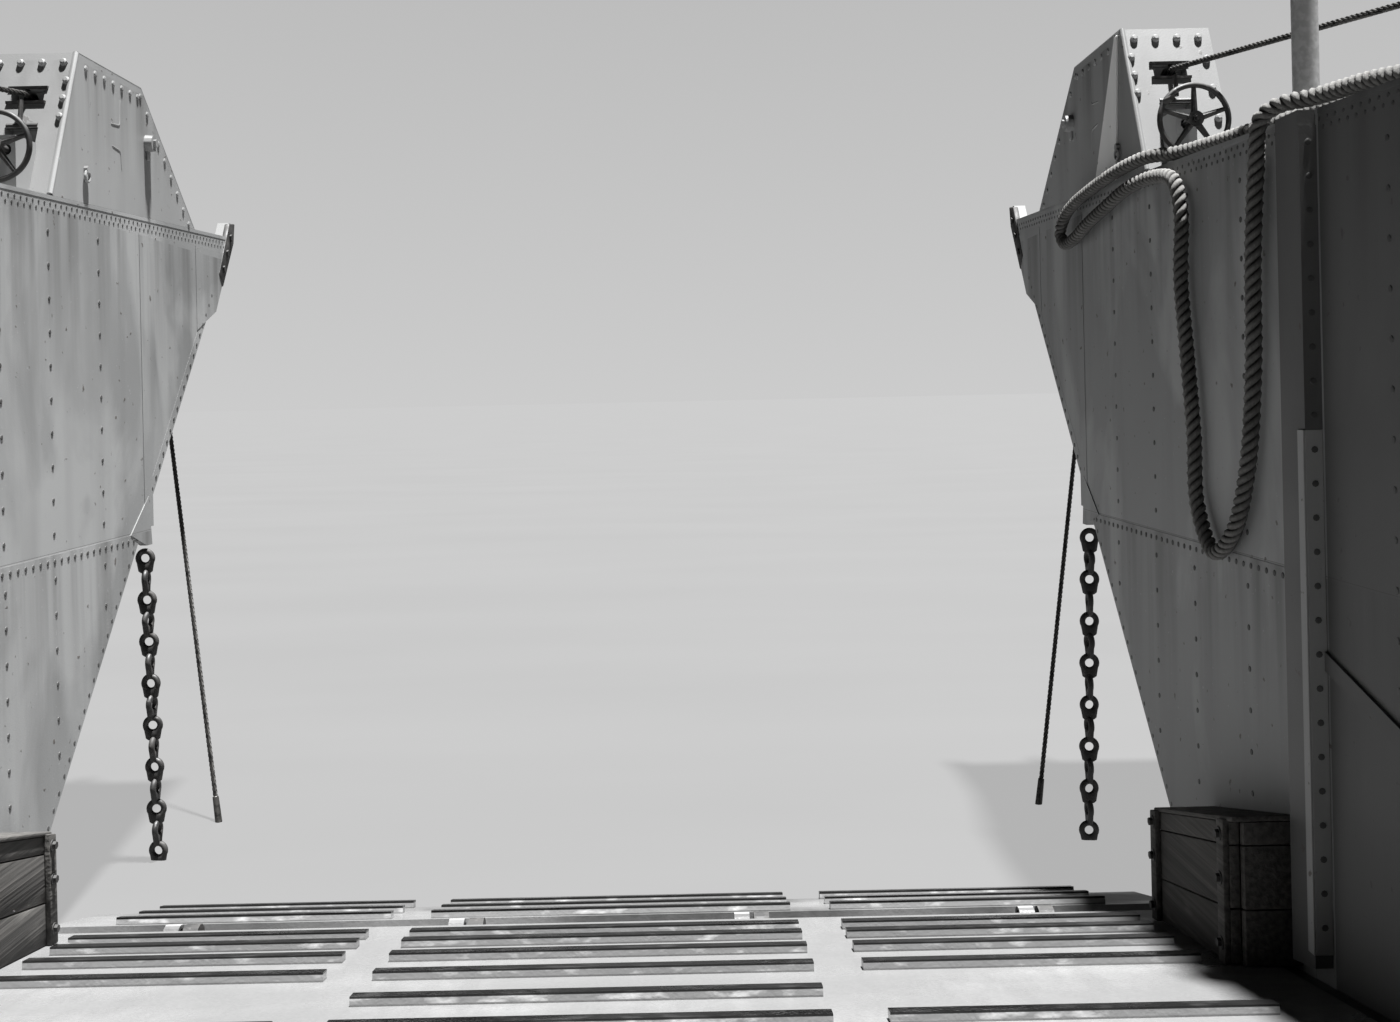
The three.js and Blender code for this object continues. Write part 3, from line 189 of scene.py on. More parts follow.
def on_wing_top(across, ahead, above):
    return Vector((across, hinge_y + ahead, wing_top_z(hinge_y + ahead) + above))


mooring_x = 1.55
mooring_behind = 1.25
post_step = 0.14
post_radius = 0.05
eye_lift = 0.08


# An eye round a mooring post: from the standing part's throat round the post and back beside it
def eye_round(post_behind, throat, tail):
    post = on_wing_top(mooring_x, -post_behind, eye_lift)
    out = Vector((throat.x - post.x, throat.y - post.y, 0)).normalized()
    across = Vector((-out.y, out.x, 0))
    reach = post_radius + rope_thickness / 2 + 0.002
    turns = [math.radians(a) for a in (62, 100, 140, 180, 220, 260, 298)]
    turn = [post + (out * math.cos(a) + across * math.sin(a)) * reach for a in turns]
    return [*turn, throat - across * (rope_thickness + 0.001), tail - across * (rope_thickness + 0.002)]


standing = [on_wing_top(*row) for row in hawser_route]
fore_eye = eye_round(mooring_behind - post_step, standing[0], standing[2])
aft_eye = eye_round(mooring_behind + post_step, standing[-1], standing[-3])
hawser_line = evenly(smooth_route([*reversed(fore_eye), *standing, *aft_eye]), rope_lay / steps_per_lay)
hawser = laid_rope("hawser_rope", hawser_line, 3, 0.0094, 0.0081, rope_lay)


def nothing_selected():
    if bpy.context.object and bpy.context.object.mode != "OBJECT":
        bpy.ops.object.mode_set(mode="OBJECT")
    bpy.ops.object.select_all(action="DESELECT")


def only(piece):
    nothing_selected()
    piece.select_set(True)
    bpy.context.view_layer.objects.active = piece


def placed(piece):
    only(piece)
    bpy.ops.object.transform_apply(location=True, rotation=True, scale=True)
    return piece


def modified(piece, kind, **settings):
    only(piece)
    modifier = piece.modifiers.new(kind.lower(), kind)
    for key, value in settings.items():
        setattr(modifier, key, value)
    bpy.ops.object.modifier_apply(modifier=modifier.name)
    return piece


def repeated(piece, count, step):
    if count < 2:
        return piece
    return modified(piece, "ARRAY", count=count, use_relative_offset=False, use_constant_offset=True,
                    constant_offset_displace=step)


# Marline seizings hold each tail to the standing part
def seizing(name, standing_part, tail):
    across = (tail - standing_part).normalized()
    along = across.cross(Vector((0, 0, 1))).normalized()
    nothing_selected()
    bpy.ops.mesh.primitive_torus_add(
        location=(standing_part + tail) / 2 - along * 0.012,
        rotation=Matrix((across, along.cross(across), along)).transposed().to_euler(),
        major_segments=24, minor_segments=6, major_radius=0.021, minor_radius=0.0026)
    wraps = bpy.context.object
    wraps.name = name
    wraps.scale = (1.85, 1, 1)
    return repeated(placed(wraps), 6, along * 0.0048)


seizings = [
    seizing("hawser_seizing_fore", standing[1], fore_eye[-1].lerp(fore_eye[-2], 0.5)),
    seizing("hawser_seizing_aft", standing[-2], aft_eye[-1].lerp(aft_eye[-2], 0.5)),
]


# Adds a shader node with its settings and inputs, and gives one of its outputs
def node(tree, kind, inputs, out=0, **settings):
    made = tree.nodes.new("ShaderNode" + kind)
    for key, value in settings.items():
        setattr(made, key, value)
    for key, value in inputs.items():
        if isinstance(value, bpy.types.NodeSocket):
            tree.links.new(value, made.inputs[key])
        else:
            made.inputs[key].default_value = value
    return made.outputs[out]


def mixed(tree, factor, first, second):
    return node(tree, "Mix", {0: factor, 6: first, 7: second}, 2, data_type="RGBA")


def reckoned(tree, operation, *values):
    return node(tree, "Math", dict(enumerate(values)), operation=operation)


def times(tree, first, second):
    return reckoned(tree, "MULTIPLY", first, second)


def ranged(tree, value, low, high, to_low=0.0, to_high=1.0):
    limits = {"From Min": low, "From Max": high, "To Min": to_low, "To Max": to_high}
    return node(tree, "MapRange", {"Value": value, **limits})


def axis(tree, place, name):
    return node(tree, "SeparateXYZ", {0: place}, name)


def noise(tree, place, scale, low, high, detail=4.0, stretch=(1, 1, 1), distortion=0.0):
    moved = node(tree, "Mapping", {"Vector": place, "Scale": stretch})
    grain = {"Vector": moved, "Scale": scale, "Detail": detail, "Distortion": distortion}
    return ranged(tree, node(tree, "TexNoise", grain), low, high)


def over(tree, colour, value, share, tone):
    return mixed(tree, times(tree, value, share), colour, tone)


def blank_finish(name, roughness, metallic=0.0):
    mat = bpy.data.materials.new(name)
    mat.use_nodes = True
    tree = mat.node_tree
    shader = tree.nodes["Principled BSDF"].inputs
    shader["Roughness"].default_value = roughness
    shader["Metallic"].default_value = metallic
    return mat, tree, shader, node(tree, "TexCoord", {}, "Object")


def coated(tree, shader, colour, bumps=(), rough=None):
    tree.links.new(colour, shader["Base Color"])
    if rough:
        tree.links.new(rough, shader["Roughness"])
    normal = {}
    for height, strength, distance in bumps:
        bump = {"Height": height, "Strength": strength, "Distance": distance, **normal}
        normal = {"Normal": node(tree, "Bump", bump)}
        tree.links.new(normal["Normal"], shader["Normal"])


# A finish of noises: the first noise mixes the first two tones, each layer lays a share of a noise's
# tone over that, and bumps and roughness follow the noises of the numbers given
def layered(name, roughness, metallic, noises, tones, layers, bumps, rough=None, groove_painted_shade=None):
    mat, tree, shader, place = blank_finish(name, roughness, metallic)
    made = [noise(tree, place, *row) for row in noises]
    colour = mixed(tree, made[0], *tones)
    for which, share, tone in layers:
        colour = over(tree, colour, made[which], share, tone)
    # Painted shade along the grooves: each strand darkens where it lies against the others
    if groove_painted_shade:
        crown = node(tree, "Attribute", {}, "Fac", attribute_name="crown")
        colour = mixed(tree, ranged(tree, crown, 0.1, 0.95), groove_painted_shade, colour)
    heights = [(made[which], strength, distance) for which, strength, distance in bumps]
    gloss = ranged(tree, made[rough[0]], 0.0, 1.0, *rough[1:]) if rough else None
    coated(tree, shader, colour, heights, gloss)
    return mat


def fitted(piece, body, material):
    piece.data.materials.clear()
    piece.data.materials.append(material)
    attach(piece, body)
    return piece


# Weathered hemp, with painted shade in the grooves between its strands
hemp = layered(
    "weathered_hemp", 0.95, 0.0, [(9, 0.35, 0.7), (240, 0.3, 0.7, 4.0, (1, 1, 0.3))],
    [(0.19, 0.187, 0.18, 1), (0.11, 0.108, 0.104, 1)], [(1, 0.35, (0.03, 0.029, 0.027, 1))],
    [(1, 0.6, 0.0015)], groove_painted_shade=(0.02, 0.019, 0.018, 1))
for piece in (hawser, *seizings):
    fitted(piece, "craft", hemp)
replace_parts(hawser, "hawser", "hawser_eye_fore", "hawser_eye_aft")


# Studio: a pale floor at the waterline, since the craft is afloat. A hard sun stands almost overhead, a
# little to starboard, and the pale dome's glow, which is stronger from starboard, fills the sides.
waterline = 0.63
key_direction = Vector((0.13, -0.015, 0.991))
key_energy = 20.0
floor_glow = 0.45

nothing_selected()
bpy.ops.mesh.primitive_plane_add(size=700, location=(0, 0, waterline))
floor = bpy.context.object
floor.name = "floor"
floor_finish, tree, shader, place = blank_finish("pale_floor", 0.6)
shader["Specular IOR Level"].default_value = 0.2
shader["Emission Color"].default_value = (1, 1, 1, 1)
shader["Emission Strength"].default_value = floor_glow
ripple = noise(tree, place, 0.35, 0.3, 0.7, stretch=(1, 3, 1))
coated(tree, shader, mixed(tree, ripple, (0.014, 0.014, 0.014, 1), (0.018, 0.018, 0.018, 1)))
floor.data.materials.append(floor_finish)

bpy.ops.object.light_add(type="SUN", location=key_direction * 25)
light = bpy.context.object
light.name = "key_light"
light.rotation_euler = key_direction.to_track_quat("Z", "Y").to_euler()
light.data.energy = key_energy
light.data.angle = math.radians(3)

world = bpy.data.worlds.new("pale_dome")
bpy.context.scene.world = world
world.use_nodes = True
sky = world.node_tree
toward = node(sky, "TexCoord", {}, "Generated")
dome = sky.nodes["Background"]
sky.links.new(ranged(sky, axis(sky, toward, "X"), -0.2, 0.9, 0.04, 2.0), dome.inputs["Strength"])
backdrop = mixed(sky, ranged(sky, axis(sky, toward, "Z"), 0.0, 0.6), (0.6, 0.6, 0.6, 1), (0.4, 0.4, 0.4, 1))
seen = node(sky, "Background", {"Color": backdrop})
camera_ray = node(sky, "LightPath", {}, "Is Camera Ray")
chosen = node(sky, "MixShader", {0: camera_ray, 1: dome.outputs[0], 2: seen})
sky.links.new(chosen, sky.nodes["World Output"].inputs["Surface"])
bpy.context.scene.view_settings.view_transform = "Standard"


# Bottom hull: the flat bottom and the swim bow, welded and riveted plate, grey above the waterline
# and dark below it. The paint is worn: pale salt smears, grime in streaks and a few rust spots.
hull_tones = [(0.186, 0.189, 0.189, 1), (0.36, 0.364, 0.364, 1), (0.095, 0.095, 0.093, 1)]
well_painted_shade = (0.052, 0.052, 0.051, 1)
rust_tone = (0.06, 0.048, 0.04, 1)
bottom_tone = (0.04, 0.036, 0.034, 1)
well_x = 1.352
well_fore_y = hinge_y - 0.68


def dressed(material, *names):
    for name in names:
        slots = frame["nodes"][name].data.materials
        slots.clear()
        slots.append(material)


# A value that is 1 just below a height and fades to 0 over the given drop
def below(tree, place, top, drop):
    height = axis(tree, place, "Z")
    return times(tree, ranged(tree, height, top - drop, top), reckoned(tree, "LESS_THAN", height, top))


# Worn paint in a plain, a pale and a grimy tone: clouded and smeared, streaked below the seams, with rust
# specks and chips. Upward and sloping faces get a dark top: partly walked dirt, partly painted shade.
def worn_paint(name, tones, roughness=0.55, seams=(), smears=0.75, seed=0.0, tops_walked_and_painted_shade=0.8):
    plain, pale, grime = tones
    mat, tree, shader, place = blank_finish(name, roughness)
    moved = node(tree, "Mapping", {"Vector": place, "Location": (seed, seed * 0.7, 0)})
    cloud = noise(tree, moved, 0.9, 0.32, 0.68, 6)
    colour = over(tree, plain, cloud, 0.55, pale)
    colour = over(tree, colour, noise(tree, moved, 2.6, 0.48, 0.58, 8, (1, 1, 0.5), 0.5), smears, pale)
    colour = over(tree, colour, noise(tree, moved, 7.5, 0.5, 0.78, 5, (1, 1, 0.07)), 0.3, grime)
    for top, drop in seams:
        run = noise(tree, moved, 16, 0.42, 0.7, 4, (1, 1, 0.05))
        colour = over(tree, colour, times(tree, run, below(tree, place, top, drop)), 0.7, grime)
    speck = noise(tree, moved, 34, 0.69, 0.73, 3)
    colour = over(tree, colour, speck, 0.8, rust_tone)
    colour = over(tree, colour, noise(tree, moved, 90, 0.72, 0.76, 2), 0.5, pale)
    # Dark top on faces turned up or sloping: walked dirt, and painted shade that dims the faces the sun
    # lights
    upward = ranged(tree, axis(tree, node(tree, "TexCoord", {}, "Normal"), "Z"), 0.2, 0.44)
    trodden = noise(tree, moved, 2.6, 0.3, 0.7, 6)
    top_walked_and_painted_shade_tone = mixed(tree, trodden, (0.062, 0.062, 0.061, 1), (0.1, 0.1, 0.099, 1))
    colour = over(tree, colour, upward, tops_walked_and_painted_shade, top_walked_and_painted_shade_tone)
    dent = noise(tree, moved, 1.3, 0.2, 0.8, 1)
    skin = noise(tree, moved, 260, 0.3, 0.7, 2)
    rough = ranged(tree, cloud, 0.0, 1.0, roughness - 0.12, roughness + 0.2)
    coated(tree, shader, colour, [(dent, 0.25, 0.012), (speck, 0.3, 0.001), (skin, 0.12, 0.0006)], rough)
    return mat, tree, shader, place, colour


# The well's own walls, aft of the pillars, wear a darker coat: painted shade for the deep shade in the well
def hull_paint():
    seams = [(hinge_z + 0.85, 0.5), (hinge_z + 1.7, 0.45)]
    mat, tree, shader, place, colour = worn_paint("grey_hull_paint", hull_tones, seams=seams)
    colour = mixed(tree, below(tree, place, waterline + 0.03, 0.012), colour, bottom_tone)
    inner = reckoned(tree, "LESS_THAN", reckoned(tree, "ABSOLUTE", axis(tree, place, "X")), well_x)
    aft = reckoned(tree, "LESS_THAN", axis(tree, place, "Y"), well_fore_y)
    above = reckoned(tree, "GREATER_THAN", axis(tree, place, "Z"), waterline + 0.06)
    # Painted shade on the well's inner walls aft of the pillars, above the waterline
    colour = over(tree, colour, times(tree, times(tree, inner, aft), above), 0.85, well_painted_shade)
    # Painted shadow: a thin dark line just above the lap's edge on the inner walls
    lap_painted_shadow = times(tree, inner, below(tree, place, hinge_z + 0.8545, 0.002))
    coated(tree, shader, over(tree, colour, lap_painted_shadow, 0.85, bottom_tone))
    return mat


hull_finish = hull_paint()
dressed(hull_finish, "bottom_hull_forward", "bottom_hull_middle", "stern_hull")


# Bow wings: riveted plate in two strakes that lap at half height, with a butt strap, frame rows and
# a raked leading edge. Rivets are closed up cold, and stand just over 1 mm proud on this half-size craft.
well_half = 1.35
tip_y = hinge_y + 1.64
lap_z = hinge_z + 0.85
rivet_radius = 0.0068
rivet_height = 0.0012
lap_thickness = 0.0012
frame_places = [-0.325, -0.025, 0.23, 0.525]
frame_spacing = 0.3
frame_pitch = 0.0825
sides = (("port", -1), ("starboard", 1))


def joined(name, pieces):
    nothing_selected()
    for piece in pieces:
        piece.select_set(True)
    bpy.context.view_layer.objects.active = pieces[0]
    if len(pieces) > 1:
        bpy.ops.object.join()
    bpy.context.object.name = name
    return bpy.context.object


# Joins pieces under one name and fits them to a body of the craft
def fit(name, pieces, material, body="craft"):
    return fitted(joined(name, pieces), body, material)


def smoothed(piece, degrees=35):
    bpy.ops.object.shade_smooth_by_angle(angle=math.radians(degrees))
    return piece


def softened(piece, width=0.002, segments=2):
    modified(piece, "BEVEL", width=width, segments=segments, limit_method="ANGLE",
             angle_limit=math.radians(40))
    return smoothed(piece)


def block(corner, opposite):
    nothing_selected()
    low, high = Vector(map(min, corner, opposite)), Vector(map(max, corner, opposite))
    bpy.ops.mesh.primitive_cube_add(size=1, location=(low + high) / 2, scale=high - low)
    return placed(bpy.context.object)


def outward_normals():
    bpy.ops.object.mode_set(mode="EDIT")
    bpy.ops.mesh.select_all(action="SELECT")
    bpy.ops.mesh.normals_make_consistent(inside=False)
    bpy.ops.object.mode_set(mode="OBJECT")


# A plate of the given outline: a filled ring of corners, extruded by the depth
def plate(corners, depth):
    nothing_selected()
    bpy.ops.mesh.primitive_circle_add(vertices=len(corners), fill_type="NGON")
    piece = bpy.context.object
    for vertex, corner in zip(piece.data.vertices, corners):
        vertex.co = corner
    bpy.ops.object.mode_set(mode="EDIT")
    bpy.ops.mesh.select_all(action="SELECT")
    bpy.ops.mesh.extrude_region_move(TRANSFORM_OT_translate={"value": depth})
    outward_normals()
    return piece


def bar(start, end, radius, sides=16, end_radius=None):
    nothing_selected()
    start, end = Vector(start), Vector(end)
    bpy.ops.mesh.primitive_cone_add(
        vertices=sides, radius1=radius, radius2=radius if end_radius is None else end_radius,
        depth=(end - start).length, location=(start + end) / 2,
        rotation=(end - start).to_track_quat("Z", "Y").to_euler())
    return smoothed(placed(bpy.context.object))


# A bar that starts at a point and runs by the given way
def stub(start, way, radius, sides=16, end_radius=None):
    return bar(start, Vector(start) + Vector(way), radius, sides, end_radius)


def rivet_head(outward, radius, height):
    foot = -outward * 0.001
    head = stub(foot, outward * (height + 0.001), radius, 8, radius * 0.86)
    bpy.ops.object.mode_set(mode="EDIT")
    bpy.ops.mesh.select_all(action="DESELECT")
    bpy.ops.object.mode_set(mode="OBJECT")
    for face in head.data.polygons:
        face.select = face.normal.dot(outward) > 0.9
    bpy.ops.object.mode_set(mode="EDIT")
    bpy.ops.mesh.select_mode(type="FACE")
    bpy.ops.mesh.inset(thickness=radius * 0.34, depth=height * 0.3)
    bpy.ops.object.mode_set(mode="OBJECT")
    return smoothed(head, 60)


def copied(piece):
    copy = piece.copy()
    copy.data = piece.data.copy()
    bpy.context.collection.objects.link(copy)
    return copy


# Rows of rivets: each row is a start, an end, a pitch and the way the heads stand
def rivet_rows(rows, radius=rivet_radius, height=rivet_height):
    made = []
    heads = {}
    for start, end, pitch, outward in rows:
        start, end, outward = Vector(start), Vector(end), Vector(outward).normalized()
        key = tuple(round(v, 3) for v in outward)
        if key not in heads:
            heads[key] = rivet_head(outward, radius, height)
        row = copied(heads[key])
        row.location = start
        placed(row)
        count = max(1, round((end - start).length / pitch) + 1)
        made.append(repeated(row, count, (end - start) / max(1, count - 1)))
    piece = joined("rivets", made)
    for head in heads.values():
        bpy.data.objects.remove(head)
    return piece


# Rivet heads in a near-black paint: painted shade that keeps their sunlit tops from showing bright, so each
# head reads as a dark spot
rivet_painted_shade_finish = worn_paint(
    "grimy_rivet_paint", [(0.04, 0.04, 0.039, 1), (0.065, 0.065, 0.064, 1), (0.02, 0.02, 0.019, 1)],
    roughness=0.5, seed=2.0, tops_walked_and_painted_shade=0.0)[0]


def rake_y(z):
    return hinge_y + 1.64 * (z - hinge_z) / 1.785


# A plate or bar on the inner face of a wing, from an outline of places along and heights
def wall_plate(s, outline, proud):
    return plate([(s * well_half, y, z) for y, z in outline], (-s * proud, 0, 0))


for side, s in sides:
    dressed(hull_finish, f"bow_wing_{side}")
    inboard = (-s, 0, 0)
    aft_y, low_z, rake_top = hinge_y - 0.6, hinge_z + 0.02, hinge_z + 1.6
    strap_y, fore_strap_y = hinge_y + 0.82, hinge_y + 1.275
    strap_top = wing_top_z(strap_y)
    knees = [(hinge_y - 4.48, 0.006), (hinge_y - 3.3, 0.004), (hinge_y - 1.3, 0.003), (hinge_y, 0.002),
             (tip_y - 0.03, 0.0029)]
    edge = [(y, wing_top_z(y) - drop) for y, drop in knees]
    fit(f"bow_wall_plates_{side}", [
        wall_plate(s, [(aft_y, low_z), (rake_y(low_z) - 0.003, low_z), (rake_y(lap_z) - 0.003, lap_z),
                       (aft_y, lap_z)], lap_thickness),
        wall_plate(s, [(strap_y - 0.012, lap_z + 0.012), (strap_y + 0.05, lap_z + 0.012),
                       (strap_y + 0.05, strap_top - 0.052), (strap_y - 0.012, strap_top - 0.05)], 0.0016),
        wall_plate(s, [(fore_strap_y, hinge_z + 1.45), (tip_y - 0.18, hinge_z + 1.52),
                       (tip_y - 0.03, wing_top_z(tip_y) - 0.06),
                       (fore_strap_y, wing_top_z(fore_strap_y) - 0.052)], 0.0014),
        wall_plate(s, [*edge, *((y, z - 0.008) for y, z in reversed(edge))], 0.0008),
        wall_plate(s, [(rake_y(low_z) - 0.002, low_z), (rake_y(rake_top) - 0.002, rake_top),
                       (rake_y(rake_top) - 0.05, rake_top), (rake_y(low_z) - 0.05, low_z)], 0.0004),
    ], hull_finish)

    def wall_row(low, high, pitch, proud=0.0):
        return (s * (well_half - proud), *low), (s * (well_half - proud), *high), pitch, inboard

    rows = []
    for ahead in [*frame_places, *(-0.925 - i * frame_spacing for i in range(12))]:
        y = hinge_y + ahead
        foot_z = hinge_z + max(0.14 - ahead * 0.163, ahead * 1.785 / 1.64 + 0.11)
        head_z = wing_top_z(y) - 0.09
        if ahead > -0.6:
            rows.append(wall_row((y, foot_z), (y, lap_z - 0.06), frame_pitch, lap_thickness))
            rows.append(wall_row((y, lap_z + 0.05), (y, head_z), frame_pitch))
        else:
            rows.append(wall_row((y, foot_z), (y, head_z), frame_pitch))
    rows.append(wall_row((aft_y + 0.03, lap_z - 0.017), (rake_y(lap_z) - 0.06, lap_z - 0.017), 0.038,
                         lap_thickness))
    rows.append(wall_row((strap_y, hinge_z + 0.95), (strap_y, strap_top - 0.075), 0.05))
    rows.append(wall_row((rake_y(hinge_z + 0.1) - 0.022, hinge_z + 0.1),
                         (rake_y(hinge_z + 1.57) - 0.022, hinge_z + 1.57), 0.045, 0.0004))
    top_rows = []
    for drop, shift in ((0.021, 0.0), (0.037, 0.0144)):
        for fore, aft in ((tip_y - 0.07, hinge_y), (hinge_y - 0.04, hinge_y - 1.3),
                          (hinge_y - 1.34, hinge_y - 3.3)):
            top_rows.append(wall_row((fore - shift, wing_top_z(fore) - drop),
                                     (aft - shift, wing_top_z(aft) - drop), 0.031))
    fit(f"bow_wall_rivets_{side}", [rivet_rows(rows), rivet_rows(top_rows, 0.0048, 0.0008)],
        rivet_painted_shade_finish)


# Closing lugs at the tips, and the pillars aft of the ramp: a flat post on the wall with a riveted
# angle along it, and a knee below. The lugs are rough cast iron, bolted through the wing's corner.
web_y = hinge_y - 0.67
pillar_face = well_half - 0.0325
knee_z = hinge_z + 0.72

iron_finish = layered(
    "tarred_iron", 0.6, 0.12, [(22, 0.4, 0.7, 6), (70, 0.58, 0.7, 3)],
    [(0.018, 0.018, 0.018, 1), (0.04, 0.038, 0.036, 1)], [(1, 0.7, (0.075, 0.072, 0.07, 1))],
    [(0, 0.35, 0.0015), (1, 0.3, 0.0008)], rough=(0, 0.5, 0.85))
# The pillar, its knee and the upper part of its angle wear a near-black coat: painted shade
pillar_painted_shade_finish = worn_paint(
    "sooty_pillar_paint", [(0.07, 0.07, 0.069, 1), (0.095, 0.095, 0.094, 1), (0.045, 0.045, 0.044, 1)],
    seed=3.0)[0]
# The lower part of the angle wears a paler coat: painted light on its aft face
flange_painted_light_finish = worn_paint(
    "pale_flange_paint", [(0.24, 0.242, 0.24, 1), (0.32, 0.32, 0.318, 1), (0.13, 0.13, 0.128, 1)],
    seed=5.0)[0]
for side, s in sides:
    dressed(pillar_painted_shade_finish, f"wall_pillar_{side}")
    lug_x, tip_z = s * (well_half - 0.004), hinge_z + 1.785
    outline = [(-0.145, -0.135), (-0.03, 0.045), (0.028, 0.052), (0.012, -0.02), (-0.108, -0.178)]
    lug = [softened(plate([(lug_x, tip_y + y, tip_z + z) for y, z in outline], (s * 0.018, 0, 0)), 0.004, 2)]
    for share in (0.2, 0.5, 0.8):
        bolt = (lug_x, tip_y - 0.128 + 0.13 * share, tip_z - 0.155 + 0.19 * share)
        lug.append(stub(bolt, (-s * 0.006, 0, 0), 0.012, 6))
    fit(f"closing_lug_{side}", lug, iron_finish)

    flange_x = s * pillar_face
    foot_z, mid_z, head_z = hinge_z + 0.17, hinge_z + 1.12, wing_top_z(web_y) - 0.03
    flange = block((flange_x, web_y - 0.004, foot_z), (flange_x + s * 0.032, web_y, mid_z))
    upper_flange = block((flange_x, web_y - 0.004, mid_z), (flange_x + s * 0.032, web_y, head_z))
    toe = block((flange_x, web_y - 0.004, foot_z), (flange_x - s * 0.004, web_y + 0.02, mid_z))
    knee = wall_plate(s, [(web_y, knee_z), (web_y - 0.42, knee_z - 0.125), (web_y - 0.42, knee_z - 0.16),
                          (web_y, knee_z - 0.035)], 0.006)
    # Upper angle and knee in the painted shade coat
    fit(f"pillar_head_{side}", [upper_flange, knee], pillar_painted_shade_finish)
    angle = softened(joined(f"pillar_angle_{side}", [flange, toe]), 0.001, 1)
    fitted(angle, "craft", flange_painted_light_finish)
    rivet_x, rivet_y = flange_x + s * 0.017, web_y - 0.004
    row = ((rivet_x, rivet_y, foot_z + 0.05), (rivet_x, rivet_y, head_z - 0.03), 0.062, (0, -1, 0))
    fit(f"pillar_rivets_{side}", [rivet_rows([row])], rivet_painted_shade_finish)


# Decks of the well: chequer-worn steel plate with raised cross bars in three tracks, wet and bright
# at the bow, dry and dusty aft. The tank deck's own bars are rolled flats, welded down in rows.
deck_tan = math.tan(math.radians(9.25))
deck_plate = 0.01
bar_height = 0.0175
bar_width = 0.03
bar_pitch = 0.14
track_bands = ((-1.17, -0.52), (-0.425, 0.425), (0.52, 1.17))
wet_pale = (0.175, 0.175, 0.175, 1)
wet_grey = (0.12, 0.12, 0.12, 1)
dust_grey = (0.125, 0.125, 0.123, 1)
scuff_grey = (0.06, 0.06, 0.06, 1)
# Bar tones: pale flanks and white glints are painted light; the tops' near-black is partly their own dark and
# partly painted shadow
bar_flank_painted_light = (0.22, 0.22, 0.22, 1)
bar_painted_glint = (0.5, 0.5, 0.5, 1)
bar_dark_top_and_painted_shadow = (0.004, 0.004, 0.004, 1)


# Paint of a deck that falls aft by the given slope: puddled and scuffed plate, and bars told apart by
# their height over it, with pale flanks and glints that are painted light, and dark tops whose dark runs
# down the flanks' upper part as painted shadow
def deck_paint(name, slope, at_y, at_z, plain, pale, wetness):
    mat, tree, shader, place = blank_finish(name, 0.5)
    puddle = noise(tree, place, 2.2, 0.4, 0.62, 7, (1, 1.6, 1))
    scuff = noise(tree, place, 26, 0.42, 0.72, 6, (1, 0.22, 1))
    grain = noise(tree, place, 150, 0.35, 0.7, 3)
    glints_and_rubbing = noise(tree, place, 40, 0.55, 0.7, 5, (0.4, 1, 1))
    wave = noise(tree, place, 9, 0.3, 0.7, 2)
    colour = over(tree, mixed(tree, puddle, plain, pale), scuff, 0.45, wet_grey)
    colour = over(tree, colour, grain, 0.18, scuff_grey)
    lean = reckoned(tree, "MULTIPLY_ADD", axis(tree, place, "Y"), slope, -slope * at_y - at_z)
    above = reckoned(tree, "ADD", lean, axis(tree, place, "Z"))
    # Painted light on the bars' flanks, with painted glints; the tops' dark reaches down the flanks as
    # painted shadow
    painted_light_flank = ranged(tree, above, 0.0015, 0.003)
    colour = mixed(tree, painted_light_flank, colour, mixed(tree, glints_and_rubbing, bar_flank_painted_light, bar_painted_glint))
    top = ranged(tree, above, bar_height * 0.7, bar_height * 0.76)
    colour = mixed(tree, top, colour, over(tree, bar_dark_top_and_painted_shadow, glints_and_rubbing, 0.25, scuff_grey))
    rough = ranged(tree, puddle, 0.0, 1.0, 0.62 - 0.2 * wetness, 0.5 - 0.38 * wetness)
    coated(tree, shader, colour, [(wave, 0.3, 0.004), (scuff, 0.2, 0.0012), (grain, 0.25, 0.0008)], rough)
    return mat


bow_plate_z = hinge_z + deck_plate + 0.0016
tank_low, tank_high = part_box("tank_deck")
tank_plate_z = tank_high.z
dressed(deck_paint("wet_deck_paint", deck_tan, hinge_y, bow_plate_z, wet_grey, wet_pale, 1.0), "bow_deck")
tank_deck_finish = deck_paint("dusty_deck_paint", 0.0, 0.0, tank_plate_z, wet_grey, dust_grey, 0.25)
dressed(tank_deck_finish, "tank_deck")

first_bar = tank_low.y + 0.16
bar_rows = int((tank_high.y - first_bar - 0.05) / bar_pitch)
flats = []
for x0, x1 in track_bands:
    flat = softened(block((x0, first_bar, tank_plate_z - 0.001),
                          (x1, first_bar + bar_width, tank_plate_z + bar_height)), 0.003, 1)
    flats.append(repeated(flat, bar_rows, (0, bar_pitch, 0)))
fit("tank_deck_bars", flats, tank_deck_finish)


# Ramp: a stiffened plate box with its own cross bars, scraped bright by what has driven over it, the bars'
# flanks pale with painted light and glints, and its hinge of iron barrels on one long pin
ramp_slope = math.radians(15)
ramp_plate_z = pin_z + 0.025 / math.cos(ramp_slope)
dressed(deck_paint("scraped_ramp_paint", math.tan(ramp_slope), pin_y, ramp_plate_z, scuff_grey, wet_pale,
                   0.85), "ramp")
dressed(iron_finish, "ramp_hinge")


# Winch houses: a plate casing over each ramp winch's lead, bolted along its top and fore edges, with
# a bright corner bar, a slot for the wire, two bent grab rods, a grease boss and a small eye
house_low_y = hinge_y + 0.26
house_top_y = hinge_y + 0.43
house_fore_y = hinge_y + 1.275
house_top_z = hinge_z + 2.13
house_width = 0.23
slot_x, slot_z = 1.46, hinge_z + 2.01
along_x = (0, math.radians(90), 0)

